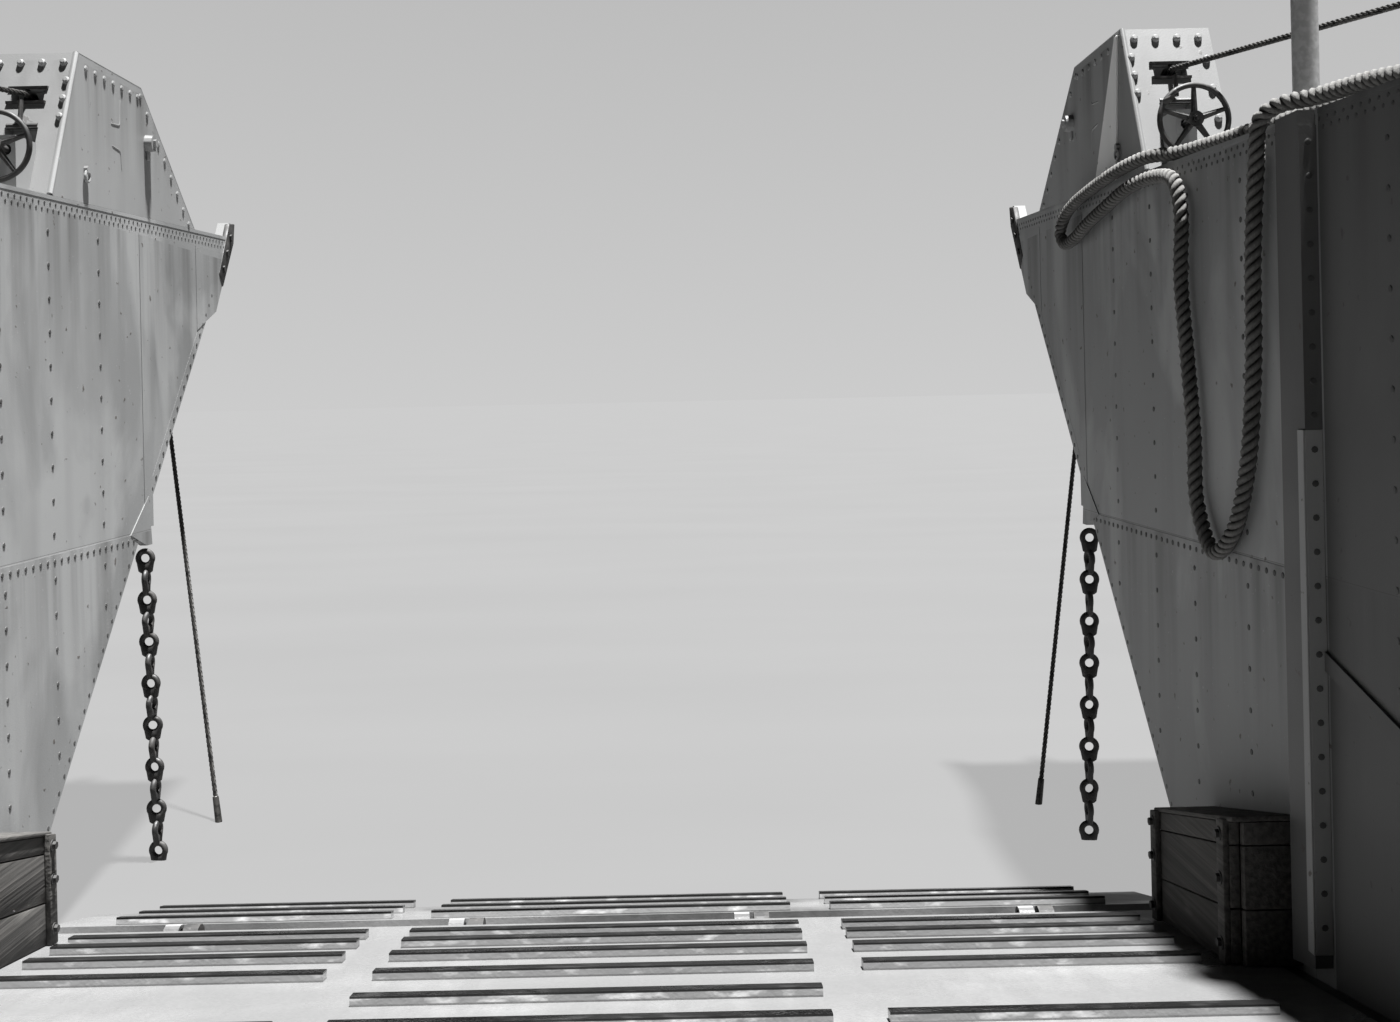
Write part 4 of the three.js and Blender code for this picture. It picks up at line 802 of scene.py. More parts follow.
# The house paint takes a strong dark top: painted shade on its leaning aft faces, which the sun lights
house_finish = worn_paint(
    "pale_house_paint", [(0.3, 0.303, 0.303, 1), (0.35, 0.353, 0.353, 1), (0.12, 0.12, 0.117, 1)],
    roughness=0.5, smears=0.35, seed=4.0, seams=[(house_top_z - 0.02, 0.3)], tops_walked_and_painted_shade=0.92)[0]
# White paint for the wedge plate: painted light, a sunlit patch on the shaded inboard face
white_painted_light_finish = worn_paint(
    "white_marking_paint", [(0.82, 0.82, 0.81, 1), (0.88, 0.88, 0.87, 1), (0.6, 0.6, 0.58, 1)],
    roughness=0.6, smears=0.2, seed=12.0, tops_walked_and_painted_shade=0.0)[0]


def bent_rod(points, radius, corner=0.02):
    points = [Vector(point) for point in points]
    path = [points[0]]
    for before, at, after in zip(points, points[1:], points[2:]):
        enter = at + (before - at).normalized() * min(corner, (before - at).length * 0.49)
        leave = at + (after - at).normalized() * min(corner, (after - at).length * 0.49)
        path += [enter.lerp(at, t).lerp(at.lerp(leave, t), t) for t in (0, 0.25, 0.5, 0.75, 1)]
    path.append(points[-1])
    curve = bpy.data.curves.new("rod", "CURVE")
    curve.dimensions = "3D"
    curve.bevel_depth = radius
    curve.bevel_resolution = 2
    curve.use_fill_caps = True
    line = curve.splines.new("POLY")
    line.points.add(len(path) - 1)
    for point, co in zip(line.points, path):
        point.co = (*co, 1)
    piece = bpy.data.objects.new("rod", curve)
    bpy.context.collection.objects.link(piece)
    only(piece)
    bpy.ops.object.convert(target="MESH")
    bpy.ops.object.shade_smooth()
    return bpy.context.object


def torus(centre, major, minor, steps, sides, turn=(0, 0, 0)):
    nothing_selected()
    bpy.ops.mesh.primitive_torus_add(location=centre, rotation=turn, major_radius=major, minor_radius=minor,
                                     major_segments=steps, minor_segments=sides)
    ring = placed(bpy.context.object)
    bpy.ops.object.shade_smooth()
    return ring


for side, s in sides:
    dressed(house_finish, f"winch_house_{side}")
    inner_x = s * well_half
    inboard = Vector((-s, 0, 0))
    foot = Vector((inner_x, house_low_y, wing_top_z(house_low_y) + 0.004))
    peak = Vector((inner_x, house_top_y, house_top_z - 0.001))
    fore_peak = Vector((inner_x, hinge_y + 0.85, house_top_z - 0.001))
    fore_foot = Vector((inner_x, house_fore_y - 0.01, wing_top_z(house_fore_y) + 0.004))
    corner_bars = []
    for start, end, sunk, *shape in ((foot, peak, 0.0065, 0.0075, 12), (peak, fore_peak, 0.004, 0.0043, 8),
                                     (fore_peak, fore_foot, 0.004, 0.0043, 8)):
        corner_bars.append(bar(start - inboard * sunk, end - inboard * sunk, *shape))
    fit(f"house_corner_bars_{side}", corner_bars, house_finish)

    side_bolts = [peak.lerp(fore_peak, share) + Vector((0, 0, -0.032))
                  for share in (0.1, 0.24, 0.38, 0.52, 0.66, 0.8, 0.93)]
    side_bolts += [fore_peak.lerp(fore_foot, share) + Vector((0, -0.026, -0.012))
                   for share in (0.04, 0.16, 0.36, 0.48, 0.6, 0.72, 0.84, 0.95)]
    rise = (peak - foot).normalized()
    aft_places = [(house_width * share, 0.032) for share in (0.14, 0.38, 0.62, 0.86)]
    aft_places += [(0.016, drop) for drop in (0.09, 0.145, 0.2)]
    aft_places += [(house_width - 0.022, drop) for drop in (0.1, 0.19, 0.28, 0.37)]
    top_corner = Vector((inner_x, house_top_y, house_top_z))
    aft_bolts = [top_corner - inboard * out - rise * drop for out, drop in aft_places]
    fit(f"house_bolts_{side}", [
        rivet_rows([(spot, spot, 1, (0, -rise.z, rise.y)) for spot in aft_bolts], 0.0105, 0.0085),
        rivet_rows([(spot, spot, 1, inboard) for spot in side_bolts], 0.0095, 0.0026),
    ], house_finish)

    sunk_x, face_x = inner_x + s * 0.004, inner_x + s * 0.002
    fittings = []
    for bends in ([(0.625, 1.985), (0.63, 1.985), (0.69, 1.99), (0.695, 2.06), (0.698, 2.066)],
                  [(0.63, 1.925), (0.635, 1.925), (0.69, 1.92), (0.696, 1.868), (0.7, 1.862)]):
        spots = zip((sunk_x, face_x, face_x, face_x, sunk_x), bends)
        fittings.append(bent_rod([(x, hinge_y + y, hinge_z + z) for x, (y, z) in spots], 0.0032, 0.012))
    boss_y, boss_z, eye_y = hinge_y + 0.885, hinge_z + 1.975, hinge_y + 0.455
    fittings += [
        stub((sunk_x, boss_y, boss_z), inboard * 0.026, 0.026, 16, 0.023),
        stub((inner_x - s * 0.021, boss_y, boss_z), inboard * 0.009, 0.012, 6),
        softened(block((inner_x, boss_y - 0.009, boss_z - 0.05),
                       (inner_x - s * 0.008, boss_y + 0.009, boss_z - 0.012)), 0.003, 2),
        stub((sunk_x, eye_y, hinge_z + 1.83), inboard * 0.014, 0.0095, 10),
        torus((inner_x - s * 0.006, eye_y, hinge_z + 1.812), 0.014, 0.0038, 20, 8, along_x),
    ]
    fit(f"house_fittings_{side}", fittings, house_finish)

    def house_aft_y(z):
        return house_low_y + (house_top_y - house_low_y) * (z - foot.z) / (house_top_z - foot.z)

    guides = []
    for low_z in (slot_z + 0.017, slot_z - 0.024):
        aft_y = house_aft_y(low_z)
        guides.append(block((s * (slot_x - 0.05), aft_y - 0.006, low_z),
                            (s * (slot_x + 0.05), aft_y + 0.02, low_z + 0.007)))
    stem_z = slot_z - 0.075
    stem_y = house_aft_y(stem_z)
    guides.append(bar((s * slot_x, stem_y - 0.004, slot_z - 0.02),
                      (s * slot_x, stem_y - 0.012, stem_z), 0.006, 8))
    guides.append(stub((s * slot_x - 0.04, stem_y + 0.002, stem_z - 0.01), (0.08, 0, 0), 0.008, 10))
    fit(f"wire_slot_guides_{side}", guides, iron_finish)
    if side == "starboard":
        # Painted light: a white wedge plate on the starboard house's shaded inboard face stands for a sunlit
        # patch
        wedge = plate([
            (inner_x, house_top_y + 0.012, house_top_z - 0.012),
            (inner_x, house_top_y + 0.03, house_top_z - 0.012),
            (inner_x, hinge_y + 0.66, wing_top_z(hinge_y + 0.66) + 0.006),
            (inner_x, hinge_y + 0.47, wing_top_z(hinge_y + 0.47) + 0.006),
        ], (-0.006, 0, 0))
        fit("house_wedge_plate", [softened(wedge, 0.001, 1)], white_painted_light_finish)


# Hand wheels: cast rims with five tapered spokes on a boss, turning on a spindle that goes into the
# house; each works the brake of its ramp winch
wheel_radius = 0.0825
along_y = (math.radians(90), 0, 0)


# Points on a circle that lies across the first axis named, from the second towards the third
def round_circle(radius, count, first=0.0, axes="zxy"):
    points = []
    for i in range(count):
        a = math.radians(first + 360 * i / count)
        point = Vector()
        setattr(point, axes[1], radius * math.cos(a))
        setattr(point, axes[2], radius * math.sin(a))
        points.append(point)
    return points


for side, s in sides:
    hub = Vector((s * 1.435, hinge_y + 0.15, hinge_z + 1.84))
    wheel = [torus(hub, wheel_radius, 0.0068, 48, 10, along_y)]
    for out in round_circle(1, 5, 90, "yxz"):
        wheel.append(bar(hub + out * 0.012, hub + out * (wheel_radius - 0.002), 0.0085, 10, 0.0052))
    grip = hub + Vector((math.cos(2.6), 0, math.sin(2.6))) * wheel_radius
    for at, y0, y1, *shape in (
            (hub, -0.014, 0.016, 0.019, 20, 0.015), (hub, -0.024, -0.012, 0.0105, 6),
            (hub, -0.032, -0.022, 0.006, 10), (grip, 0.0, -0.012, 0.005, 8),
            (grip, -0.012, -0.055, 0.0085, 12, 0.006), (hub, 0.01, 0.148, 0.009, 12)):
        wheel.append(stub(at + Vector((0, y0, 0)), (0, y1 - y0, 0), *shape))
    cast = fit(f"hand_wheel_cast_{side}", wheel, iron_finish, f"hand wheel {side}")
    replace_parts(cast, f"hand_wheel_{side}")


# Lift wires: greased steel wire rope from the winch drum through the house, over the head sheave and
# down to an eye on the ramp, with a served splice at its lower end. The sheave runs in iron cheeks.
wire_radius = 0.00725
sheave = Vector((1.68, hinge_y + 1.635, hinge_z + 1.9))
wire_bend = 0.065 + wire_radius + 0.002
ramp_eye = Vector((1.26, hinge_y + 1.15, hinge_z - 0.21))
drum_y = hinge_y - 1.8
drum = Vector((1.95, drum_y, wing_top_z(drum_y) + 0.15))
drum_radius = 0.075

wire_finish = layered("greased_wire", 0.42, 0.55, [(60, 0.45, 0.65)],
                      [(0.06, 0.058, 0.055, 1), (0.012, 0.012, 0.012, 1)], [], [(0, 0.4, 0.001)])
for side, s in sides:
    route = [drum + Vector((0, 0.01, drum_radius + 0.01)), Vector((slot_x, hinge_y + 0.36, slot_z))]
    for a in map(math.radians, range(92, -14, -15)):
        route.append(sheave + Vector((0, math.cos(a), math.sin(a))) * wire_bend)
    route = [Vector((s * x, y, z)) for x, y, z in (*route, ramp_eye)]
    wire = laid_rope("wire", evenly(route, 0.0075), 5, 0.0044, 0.0031, 0.075, sides=5)
    foot = route[-1]
    up = (route[-2] - foot).normalized()
    served = bar(foot + up * 0.03, foot + up * 0.2, 0.0125, 14, 0.0095)
    knob = bar(foot - up * 0.005, foot + up * 0.04, 0.016, 14, 0.013)
    wire = fit(f"lift_wire_rope_{side}", [wire, softened(served, 0.003, 2), softened(knob, 0.003, 2)],
               wire_finish)
    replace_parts(wire, f"lift_wire_{side}")

    dressed(iron_finish, f"head_sheave_{side}", f"ramp_winch_{side}")
    turn = torus((s * drum.x - 0.12, drum.y, drum.z), drum_radius + wire_radius * 0.9, wire_radius,
                 36, 8, along_x)
    turns = repeated(turn, 17, (wire_radius * 2.05, 0, 0))
    fit(f"winch_wire_turns_{side}", [turns], wire_finish)


# Stay chains: forged stud links, each a bent bar with a stay across its middle, that take the ramp's
# weight at its lowest. They hang from a pad on the raked edge.
chain_drift = 0.0014
chain_top = Vector((1.3575, hinge_y + 0.825, hinge_z + 0.7547))
link_pitch = 0.06
link_bar = 0.0083
link_half = 0.0202

stud_link = torus((0, 0, 0), link_half, link_bar, 24, 10, along_y)
link_stretch = link_pitch / 2 + link_bar - link_half
for vertex in stud_link.data.vertices:
    if vertex.co.z >= -link_stretch - 0.0005:
        vertex.co.z += link_stretch
stud_link = joined("stud_link", [stud_link, stub((-link_half, 0, 0), (link_half * 2, 0, 0), 0.0062, 10)])
smoothed(stud_link, 50)
for side, s in sides:
    links = []
    for i in range(17):
        link = copied(stud_link)
        link.location = (s * (chain_top.x - i * chain_drift), chain_top.y, chain_top.z - i * link_pitch)
        link.rotation_euler.z = math.radians(90 if i % 2 else 0) + 0.12 * math.sin(i * 1.7)
        links.append(placed(link))
    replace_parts(fit(f"stay_chain_links_{side}", links, iron_finish), f"stay_chain_{side}")
bpy.data.objects.remove(stud_link)


# Timber boxes: three planks a side with two boards on top, bolted through a batten at the fore corner,
# lying on the deck against the walls where the ramp's edges come down
box_aft_y = hinge_y - 0.55
box_fore_y = hinge_y - 0.11
batten_width = 0.034

timber_finish = layered(
    "weathered_timber", 0.82, 0.0,
    [(30, 0.3, 0.7, 6, (3, 0.045, 3), 0.08), (3.5, 0.4, 0.7, 5), (11, 0.62, 0.7, 6, (1, 0.2, 1))],
    [(0.02, 0.019, 0.018, 1), (0.075, 0.071, 0.066, 1)],
    [(1, 0.6, (0.018, 0.017, 0.016, 1)), (2, 0.5, (0.17, 0.165, 0.155, 1))],
    [(0, 0.6, 0.002), (2, 0.3, 0.001)])


# The height of a share of the box's side, from the sloping deck up
def box_z(y, share):
    aft_share = (box_fore_y - y) / (box_fore_y - box_aft_y)
    return hinge_z + (hinge_y - y) * deck_tan + 0.0118 + (0.245 + 0.04 * aft_share) * share


def box_plank(x0, x1, aft, fore, low, high):
    corners = [(x0, y, box_z(y, share)) for y, share in ((aft, low), (fore, low), (fore, high), (aft, high))]
    return softened(plate(corners, (x1 - x0, 0, 0)), 0.0025, 2)


for side, s in sides:
    wall_x, face_x = s * (well_half - 0.0003), s * (well_half - 0.13)
    planks = []
    for low, high in ((0.0, 0.37), (0.378, 0.8), (0.808, 0.96)):
        planks += [
            box_plank(face_x, face_x + s * 0.02, box_aft_y + 0.02, box_fore_y - 0.006, low, high),
            box_plank(face_x + s * 0.02, wall_x, box_aft_y, box_aft_y + 0.02, low, high),
            box_plank(face_x + s * 0.004, wall_x, box_fore_y - 0.02, box_fore_y, low, high),
        ]
    middle_x = (wall_x + face_x) / 2
    for x0, x1 in ((face_x - s * 0.004, middle_x - s * 0.001), (middle_x + s * 0.001, wall_x)):
        planks.append(box_plank(x0, x1, box_aft_y - 0.004, box_fore_y, 0.965, 1.0))
    batten_x = face_x - s * 0.0125
    for fore in (box_fore_y + 0.002, box_aft_y + 0.055):
        planks.append(box_plank(batten_x, face_x, fore - batten_width, fore, 0.0, 0.98))
    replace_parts(fit(f"timber_planks_{side}", planks, timber_finish), f"timber_box_{side}")
    heads = []
    for y in (box_fore_y - batten_width / 2, box_aft_y + 0.055 - batten_width / 2):
        for share in (0.14, 0.58, 0.88):
            head = (batten_x, y, box_z(y, share))
            heads += [stub(head, (-s * 0.002, 0, 0), 0.013, 16), stub(head, (-s * 0.009, 0, 0), 0.0085, 6)]
    fit(f"timber_bolts_{side}", heads, iron_finish)


# Side posts: galvanised pipe on a bolted foot plate, with a turned cap. One stands on each wing's top,
# just aft of the ramp's hinge.
post_x = 1.515
post_y = hinge_y - 0.27
post_height = 1.2

pipe_finish = layered(
    "dull_galvanising", 0.45, 0.35, [(70, 0.4, 0.6, 2), (5, 0.4, 0.7, 5, (1, 1, 0.2))],
    [(0.46, 0.46, 0.46, 1), (0.6, 0.6, 0.6, 1)], [(1, 0.6, (0.26, 0.26, 0.257, 1))], [(0, 0.15, 0.0006)])


def upright(x, y, low, high, *shape):
    return stub((x, y, low), (0, 0, high - low), *shape)


for side, s in sides:
    dressed(pipe_finish, f"side_post_{side}")
    low_z = wing_top_z(post_y + 0.07)
    x, foot_z, top_z = s * post_x, low_z + 0.0003, low_z + post_height
    pipe = [upright(x, post_y, foot_z + 0.002, top_z, 0.0266, 32),
            upright(x, post_y, foot_z + 0.014, foot_z + 0.06, 0.04, 32, 0.03)]
    for dx, dy in ((-1, -1), (-1, 1), (1, -1), (1, 1)):
        pipe.append(upright(x + dx * 0.052, post_y + dy * 0.052, foot_z + 0.013, foot_z + 0.024, 0.009, 6))
    pipe.append(softened(upright(x, post_y, top_z, top_z + 0.0255, 0.037, 32, 0.03), 0.004, 3))
    fit(f"side_post_pipe_{side}", pipe, pipe_finish)


# Side wings: riveted strakes with in-and-out laps, frame rows and butt straps, a rolled bar on the
# coaming and its brackets, and on the wing tops mooring posts, ventilators and store hatches
side_deck_z = 1.975
hull_half = 2.325
strake_proud = 0.003
hull_plan = [(2.1, 14.322), (2.325, 11.772), (2.325, -12.228), (2.2, -13.678), (1.9, -14.578), (1.5, -14.978)]
wing_y0, wing_y1 = -6.3497, 8.1317
hatch_x = 1.81
rail_spacing = (0, -1.125, 0)
frame_rivet = (0.0062, 0.0034)
post_profile = [(0, 0.238), (0.052, 0.2375), (0.0655, 0.229), (0.0655, 0.216), (0.054, 0.208),
                (0.0506, 0.2), (0.0506, 0.03), (0.062, 0.0205), (0.0, 0.0205)]
vent_profile = [(0, 0.3905), (0.055, 0.388), (0.098, 0.371), (0.121, 0.35), (0.124, 0.325), (0.1215, 0.3),
                (0.0615, 0.305), (0.0615, 0.02), (0.074, 0.012), (0.074, 0.0), (0, 0.0)]


# A body turned round an upright line, from a profile of distances out and heights
def turned(profile, centre, steps=32, closed=False):
    nothing_selected()
    bpy.ops.mesh.primitive_circle_add(vertices=len(profile), fill_type="NOTHING")
    piece = bpy.context.object
    for vertex, (out, height) in zip(piece.data.vertices, profile):
        vertex.co = (out, 0, height)
    if not closed:
        bpy.ops.object.mode_set(mode="EDIT")
        bpy.ops.mesh.select_all(action="DESELECT")
        bpy.ops.object.mode_set(mode="OBJECT")
        for edge in piece.data.edges:
            edge.select = set(edge.vertices) == {0, len(profile) - 1}
        bpy.ops.object.mode_set(mode="EDIT")
        bpy.ops.mesh.select_mode(type="EDGE")
        bpy.ops.mesh.delete(type="EDGE")
        bpy.ops.object.mode_set(mode="OBJECT")
    modified(piece, "SCREW", steps=steps, render_steps=steps, use_merge_vertices=True, merge_threshold=0.0001)
    outward_normals()
    smoothed(piece)
    piece.location = centre
    return placed(piece)


def side_x(y):
    for (x1, y1), (x0, y0) in zip(hull_plan, hull_plan[1:]):
        if y >= y0:
            return x0 + (x1 - x0) * (y - y0) / (y1 - y0)
    return hull_plan[-1][0]


# A plate on the hull's side between two heights, following the plan from fore to aft
def side_strip(s, fore_low, fore_high, aft, low, high, proud):
    knots = [y for _, y in hull_plan if aft < y < min(fore_low, fore_high)]
    spots = [(fore_low, fore_high), *((y, y) for y in knots), (aft, aft)]
    strips = []
    for (a_low, a_high), (b_low, b_high) in zip(spots, spots[1:]):
        middle = (a_low + b_low) / 2
        out = Vector((0.02, side_x(middle - 0.01) - side_x(middle + 0.01), 0)).normalized()
        outline = ((a_low, low), (b_low, low), (b_high, high), (a_high, high))
        strips.append(plate([(s * side_x(y), y, z) for y, z in outline],
                            (s * out.x * proud, out.y * proud, 0)))
    return strips


for side, s in sides:
    dressed(hull_finish, f"side_wing_{side}")
    dressed(pipe_finish, f"guard_rail_{side}")
    inboard, outboard = (-s, 0, 0), (s, 0, 0)
    strips = []
    for rake_low, rake_high, low in ((0.985, 1.36, 0.985), (1.7, 1.93, 1.86)):
        strips += side_strip(s, rake_y(rake_low) - 0.015, rake_y(rake_high) - 0.015, -14.5, low, rake_high,
                             strake_proud)
    for i in range(10):
        strap_y = 10.9 - i * 2.5
        strips += side_strip(s, strap_y + 0.045, strap_y + 0.045, strap_y - 0.045, 1.37, 1.74, 0.002)
        strips += side_strip(s, strap_y - 1.2, strap_y - 1.2, strap_y - 1.29, 0.66, 0.98, 0.002)
    fit(f"side_plates_{side}", [softened(joined("strips", strips), 0.0008, 1)], hull_finish)

    lap_x = s * (hull_half + strake_proud)
    rows = [((lap_x, 11.7, z), (lap_x, -12.2, z), 0.075, outboard) for z in (1.0, 1.345, 1.905)]
    fit(f"side_lap_rivets_{side}", [rivet_rows(rows, *frame_rivet)], rivet_painted_shade_finish)
    columns = []
    for low, high, x in ((0.68, 0.955, s * hull_half), (1.045, 1.3, lap_x), (1.395, 1.74, s * hull_half)):
        column = rivet_rows([((x, 11.6, low), (x, 11.6, high), 0.085, outboard)], *frame_rivet)
        columns.append(repeated(column, 45, (0, -0.53, 0)))
    fit(f"side_frame_rivets_{side}", columns, rivet_painted_shade_finish)
    wall_x = s * well_half
    column = rivet_rows([((wall_x, wing_y1 - 0.12, tank_plate_z + 0.06),
                          (wall_x, wing_y1 - 0.12, side_deck_z + 0.2), 0.0825, inboard)])
    seams = rivet_rows([((wall_x, wing_y1 - 0.06, z), (wall_x, wing_y0 + 0.06, z), 0.09, inboard)
                        for z in (lap_z + 0.02, side_deck_z - 0.03)])
    fit(f"well_rivets_{side}", [repeated(column, 29, (0, -0.5, 0)), seams], rivet_painted_shade_finish)

    knee = [(1.374, 0.0), (1.465, 0.0), (1.465, 0.02), (1.39, 0.225), (1.374, 0.225)]
    knee = plate([(s * x, wing_y1 - 0.3, side_deck_z + z) for x, z in knee], (0, -0.006, 0))
    lashing = torus((wall_x, wing_y1 - 0.75, 1.62), 0.034, 0.0065, 20, 8, along_y)
    fit(f"coaming_bar_{side}", [
        bar((s * 1.3625, wing_y0, 2.221), (s * 1.3625, wing_y1, 2.221), 0.0155, 12),
        repeated(knee, 17, (0, -0.86, 0)),
        repeated(lashing, 9, (0, -1.6, 0)),
    ], hull_finish)

    gear = []
    for y in (6.25, 0.75, -4.75):
        gear += [turned(post_profile, (s * 2.05, y + step, side_deck_z)) for step in (-post_step, post_step)]
    for y in (4.7, -0.7, -3.2):
        vent = Vector((s * 1.7, y, side_deck_z))
        gear.append(turned(vent_profile, vent))
        for out in round_circle(0.068, 6, 15):
            gear.append(stub(vent + out + Vector((0, 0, 0.012)), (0, 0, 0.006), 0.006, 6))
    fit(f"wing_top_gear_{side}", gear, hull_finish)

    gear = []
    lid_z = side_deck_z + 0.1255
    x = s * hatch_x
    for y in (7.3, 3.1, -2.1, -5.7):
        gear.append(softened(block((x - 0.155, y - 0.195, lid_z - 0.001),
                                   (x + 0.155, y + 0.195, lid_z + 0.004)), 0.003))
        for strap_x in (x - 0.1, x + 0.1):
            gear += [
                stub((strap_x - 0.03, y + 0.205, lid_z - 0.004), (0.06, 0, 0), 0.011, 12),
                block((strap_x - 0.012, y + 0.12, lid_z), (strap_x + 0.012, y + 0.205, lid_z + 0.007)),
                upright(strap_x, y - 0.2, lid_z - 0.002, lid_z + 0.014, 0.012, 6),
                stub((strap_x - 0.03, y - 0.2, lid_z + 0.016), (0.06, 0, 0), 0.005, 8),
            ]
        gear.append(bent_rod([(x + dx, y - 0.12, lid_z + dz) for dx, dz in
                              ((-0.05, 0.002), (-0.05, 0.03), (0.05, 0.03), (0.05, 0.002))], 0.005, 0.012))
    fit(f"store_hatch_gear_{side}", gear, house_finish)

    bow_profile = [(0, 0.2365), (0.052, 0.236), (0.0655, 0.228), (0.0655, 0.216), (0.054, 0.208),
                   (0.0506, 0.2), (0.0506, 0.012), (0.0, 0.012)]
    posts = [turned(bow_profile, (s * mooring_x, hinge_y - mooring_behind + step,
                                  wing_top_z(hinge_y - mooring_behind))) for step in (post_step, -post_step)]
    fit(f"bow_posts_{side}", posts, iron_finish)

    rail_x, rail_y = s * 2.265, 8.0322
    balls = []
    for z in (0.26, 0.49):
        nothing_selected()
        bpy.ops.mesh.primitive_uv_sphere_add(
            segments=10, ring_count=6, radius=0.0165, location=(rail_x, rail_y, side_deck_z + z))
        ball = placed(bpy.context.object)
        bpy.ops.object.shade_smooth()
        balls.append(repeated(ball, 13, rail_spacing))
    shoe = turned([(0, 0.012), (0.02, 0.011), (0.032, 0.006), (0.034, 0.0), (0, 0.0)],
                  (rail_x, rail_y, side_deck_z + 0.0003), steps=16)
    fit(f"rail_balls_{side}", [*balls, repeated(shoe, 13, rail_spacing)], hull_finish)


# Stern hull and running gear: bronze propellers on shafts that pass through the skegs, plate rudders on
# their stocks, and two engines in the room under the quarterdeck, enamelled grey
shaft_x, shaft_z = 0.95, 0.36
propeller_y = -12.85
root_reach, tip_reach = 0.04, 0.285

bronze_finish = layered(
    "cast_bronze", 0.42, 0.75, [(14, 0.35, 0.68, 6), (120, 0.6, 0.72, 2)],
    [(0.16, 0.115, 0.055, 1), (0.27, 0.2, 0.1, 1)], [(1, 0.6, (0.05, 0.06, 0.05, 1))],
    [(0, 0.2, 0.001), (1, 0.4, 0.0006)])
enamel_finish = worn_paint(
    "engine_enamel", [(0.1, 0.11, 0.11, 1), (0.14, 0.15, 0.15, 1), (0.03, 0.03, 0.028, 1)],
    roughness=0.35, smears=0.2, seed=7.0, tops_walked_and_painted_shade=0.2)[0]


# One blade: a grid twisted from root to tip, of one thickness with rounded edges
def blade(s, turn):
    nothing_selected()
    bpy.ops.mesh.primitive_grid_add(x_subdivisions=10, y_subdivisions=14, size=1)
    piece = bpy.context.object
    for vertex in piece.data.vertices:
        across, along = vertex.co.x * 2, vertex.co.y + 0.5
        chord = 0.05 + 0.1 * math.sin(math.pi * min(1.0, 0.12 + along * 0.82)) ** 0.8
        twist = s * math.radians(62 - 34 * along)
        sweep = across * chord * 0.82 * math.sqrt(max(0.0, 1 - max(0.0, along - 0.6) ** 2 / 0.2))
        reach = root_reach + (tip_reach - root_reach) * along
        vertex.co = (sweep * math.cos(twist), sweep * math.sin(twist), reach)
    modified(piece, "SOLIDIFY", thickness=0.009, offset=0)
    smoothed(softened(piece, 0.002, 1), 40)
    piece.rotation_euler = (0, turn, 0)
    piece.location = (s * shaft_x, propeller_y, shaft_z)
    return placed(piece)


for side, s in sides:
    x = s * shaft_x
    screw = [blade(s, math.tau * i / 3) for i in range(3)]
    screw += [
        stub((x, propeller_y + 0.1, shaft_z), (0, -0.18, 0), 0.0655, 32, 0.0505),
        softened(stub((x, propeller_y - 0.08, shaft_z), (0, -0.078, 0), 0.0505, 32, 0.014), 0.006, 3),
        bar((x, -9.3, shaft_z), (x, propeller_y + 0.09, shaft_z), 0.0352, 24),
    ]
    cast = fit(f"propeller_cast_{side}", screw, bronze_finish, f"propeller {side}")
    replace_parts(cast, f"propeller_{side}")
    dressed(hull_finish, f"rudder_{side}")
    braces = [block((x - 0.0262, -13.93, z - 0.012), (x + 0.0262, -13.52, z + 0.012))
              for z in (0.24, 0.4, 0.56, 0.66)]
    fit(f"rudder_braces_{side}", [softened(joined("braces", braces), 0.002, 1)], hull_finish,
        f"rudder {side}")

    dressed(enamel_finish, f"engine_{side}")
    gear = []
    for i in range(6):
        y = -8.95 + i * 0.29
        gear.append(softened(block((x - 0.2, y - 0.11, 0.975), (x + 0.2, y + 0.11, 1.03)), 0.012, 3))
        gear.append(stub((x - 0.3, y, 0.9), (0.026, 0, 0), 0.05, 16))
    gear += [
        stub((x + s * 0.31, -9.05, 0.93), (0, 1.7, 0), 0.045, 16),
        stub((x, -9.18, 0.62), (0, 0.08, 0), 0.26, 32),
        stub((x, -7.3, 0.5), (0, 0.06, 0), 0.14, 24),
    ]
    fit(f"engine_gear_{side}", gear, enamel_finish)


# Quarterdeck: plate deck with a coaming round the engine hatch, its lid on strap hinges, mooring posts,
# ventilators, and the kedge winch with its wire and the anchor lying by it
quarter_z = 1.995
lid_z = 2.1695
winch = Vector((0, -13.7, 2.37))

walked_finish = layered(
    "trodden_deck_paint", 0.7, 0.0, [(1.6, 0.35, 0.68, 7), (11, 0.48, 0.72, 6), (240, 0.3, 0.7, 2)],
    [(0.075, 0.076, 0.076, 1), (0.115, 0.116, 0.115, 1)],
    [(1, 0.6, (0.15, 0.15, 0.148, 1)), (2, 0.15, (0.03, 0.03, 0.03, 1))],
    [(1, 0.2, 0.001), (2, 0.35, 0.0008)])
dressed(walked_finish, "quarterdeck", "engine_hatch_lid", "bridge_deck", "wheelhouse_roof")
dressed(iron_finish, "kedge_winch_frame", "kedge_winch_drum", "stern_anchor")

roller_profile = [(0, 0.11), (0.03, 0.108), (0.042, 0.1), (0.03, 0.085), (0.024, 0.06), (0.03, 0.035),
                  (0.036, 0.029), (0, 0.029)]
gear = []
for s in (-1, 1):
    gear += [turned(post_profile, (s * 1.65, y, quarter_z + 0.02))
             for y in (-13.2 - post_step, -13.2 + post_step)]
    gear.append(turned(vent_profile, (s * 1.6, -11.7, quarter_z)))
    gear.append(softened(block((s * 2.0 - 0.05, -14.05, quarter_z),
                               (s * 2.0 + 0.05, -13.75, quarter_z + 0.03)), 0.006))
    gear += [turned(roller_profile, (s * 2.0, y, quarter_z), steps=24) for y in (-14.0, -13.8)]
fit("quarterdeck_fittings", gear, hull_finish)

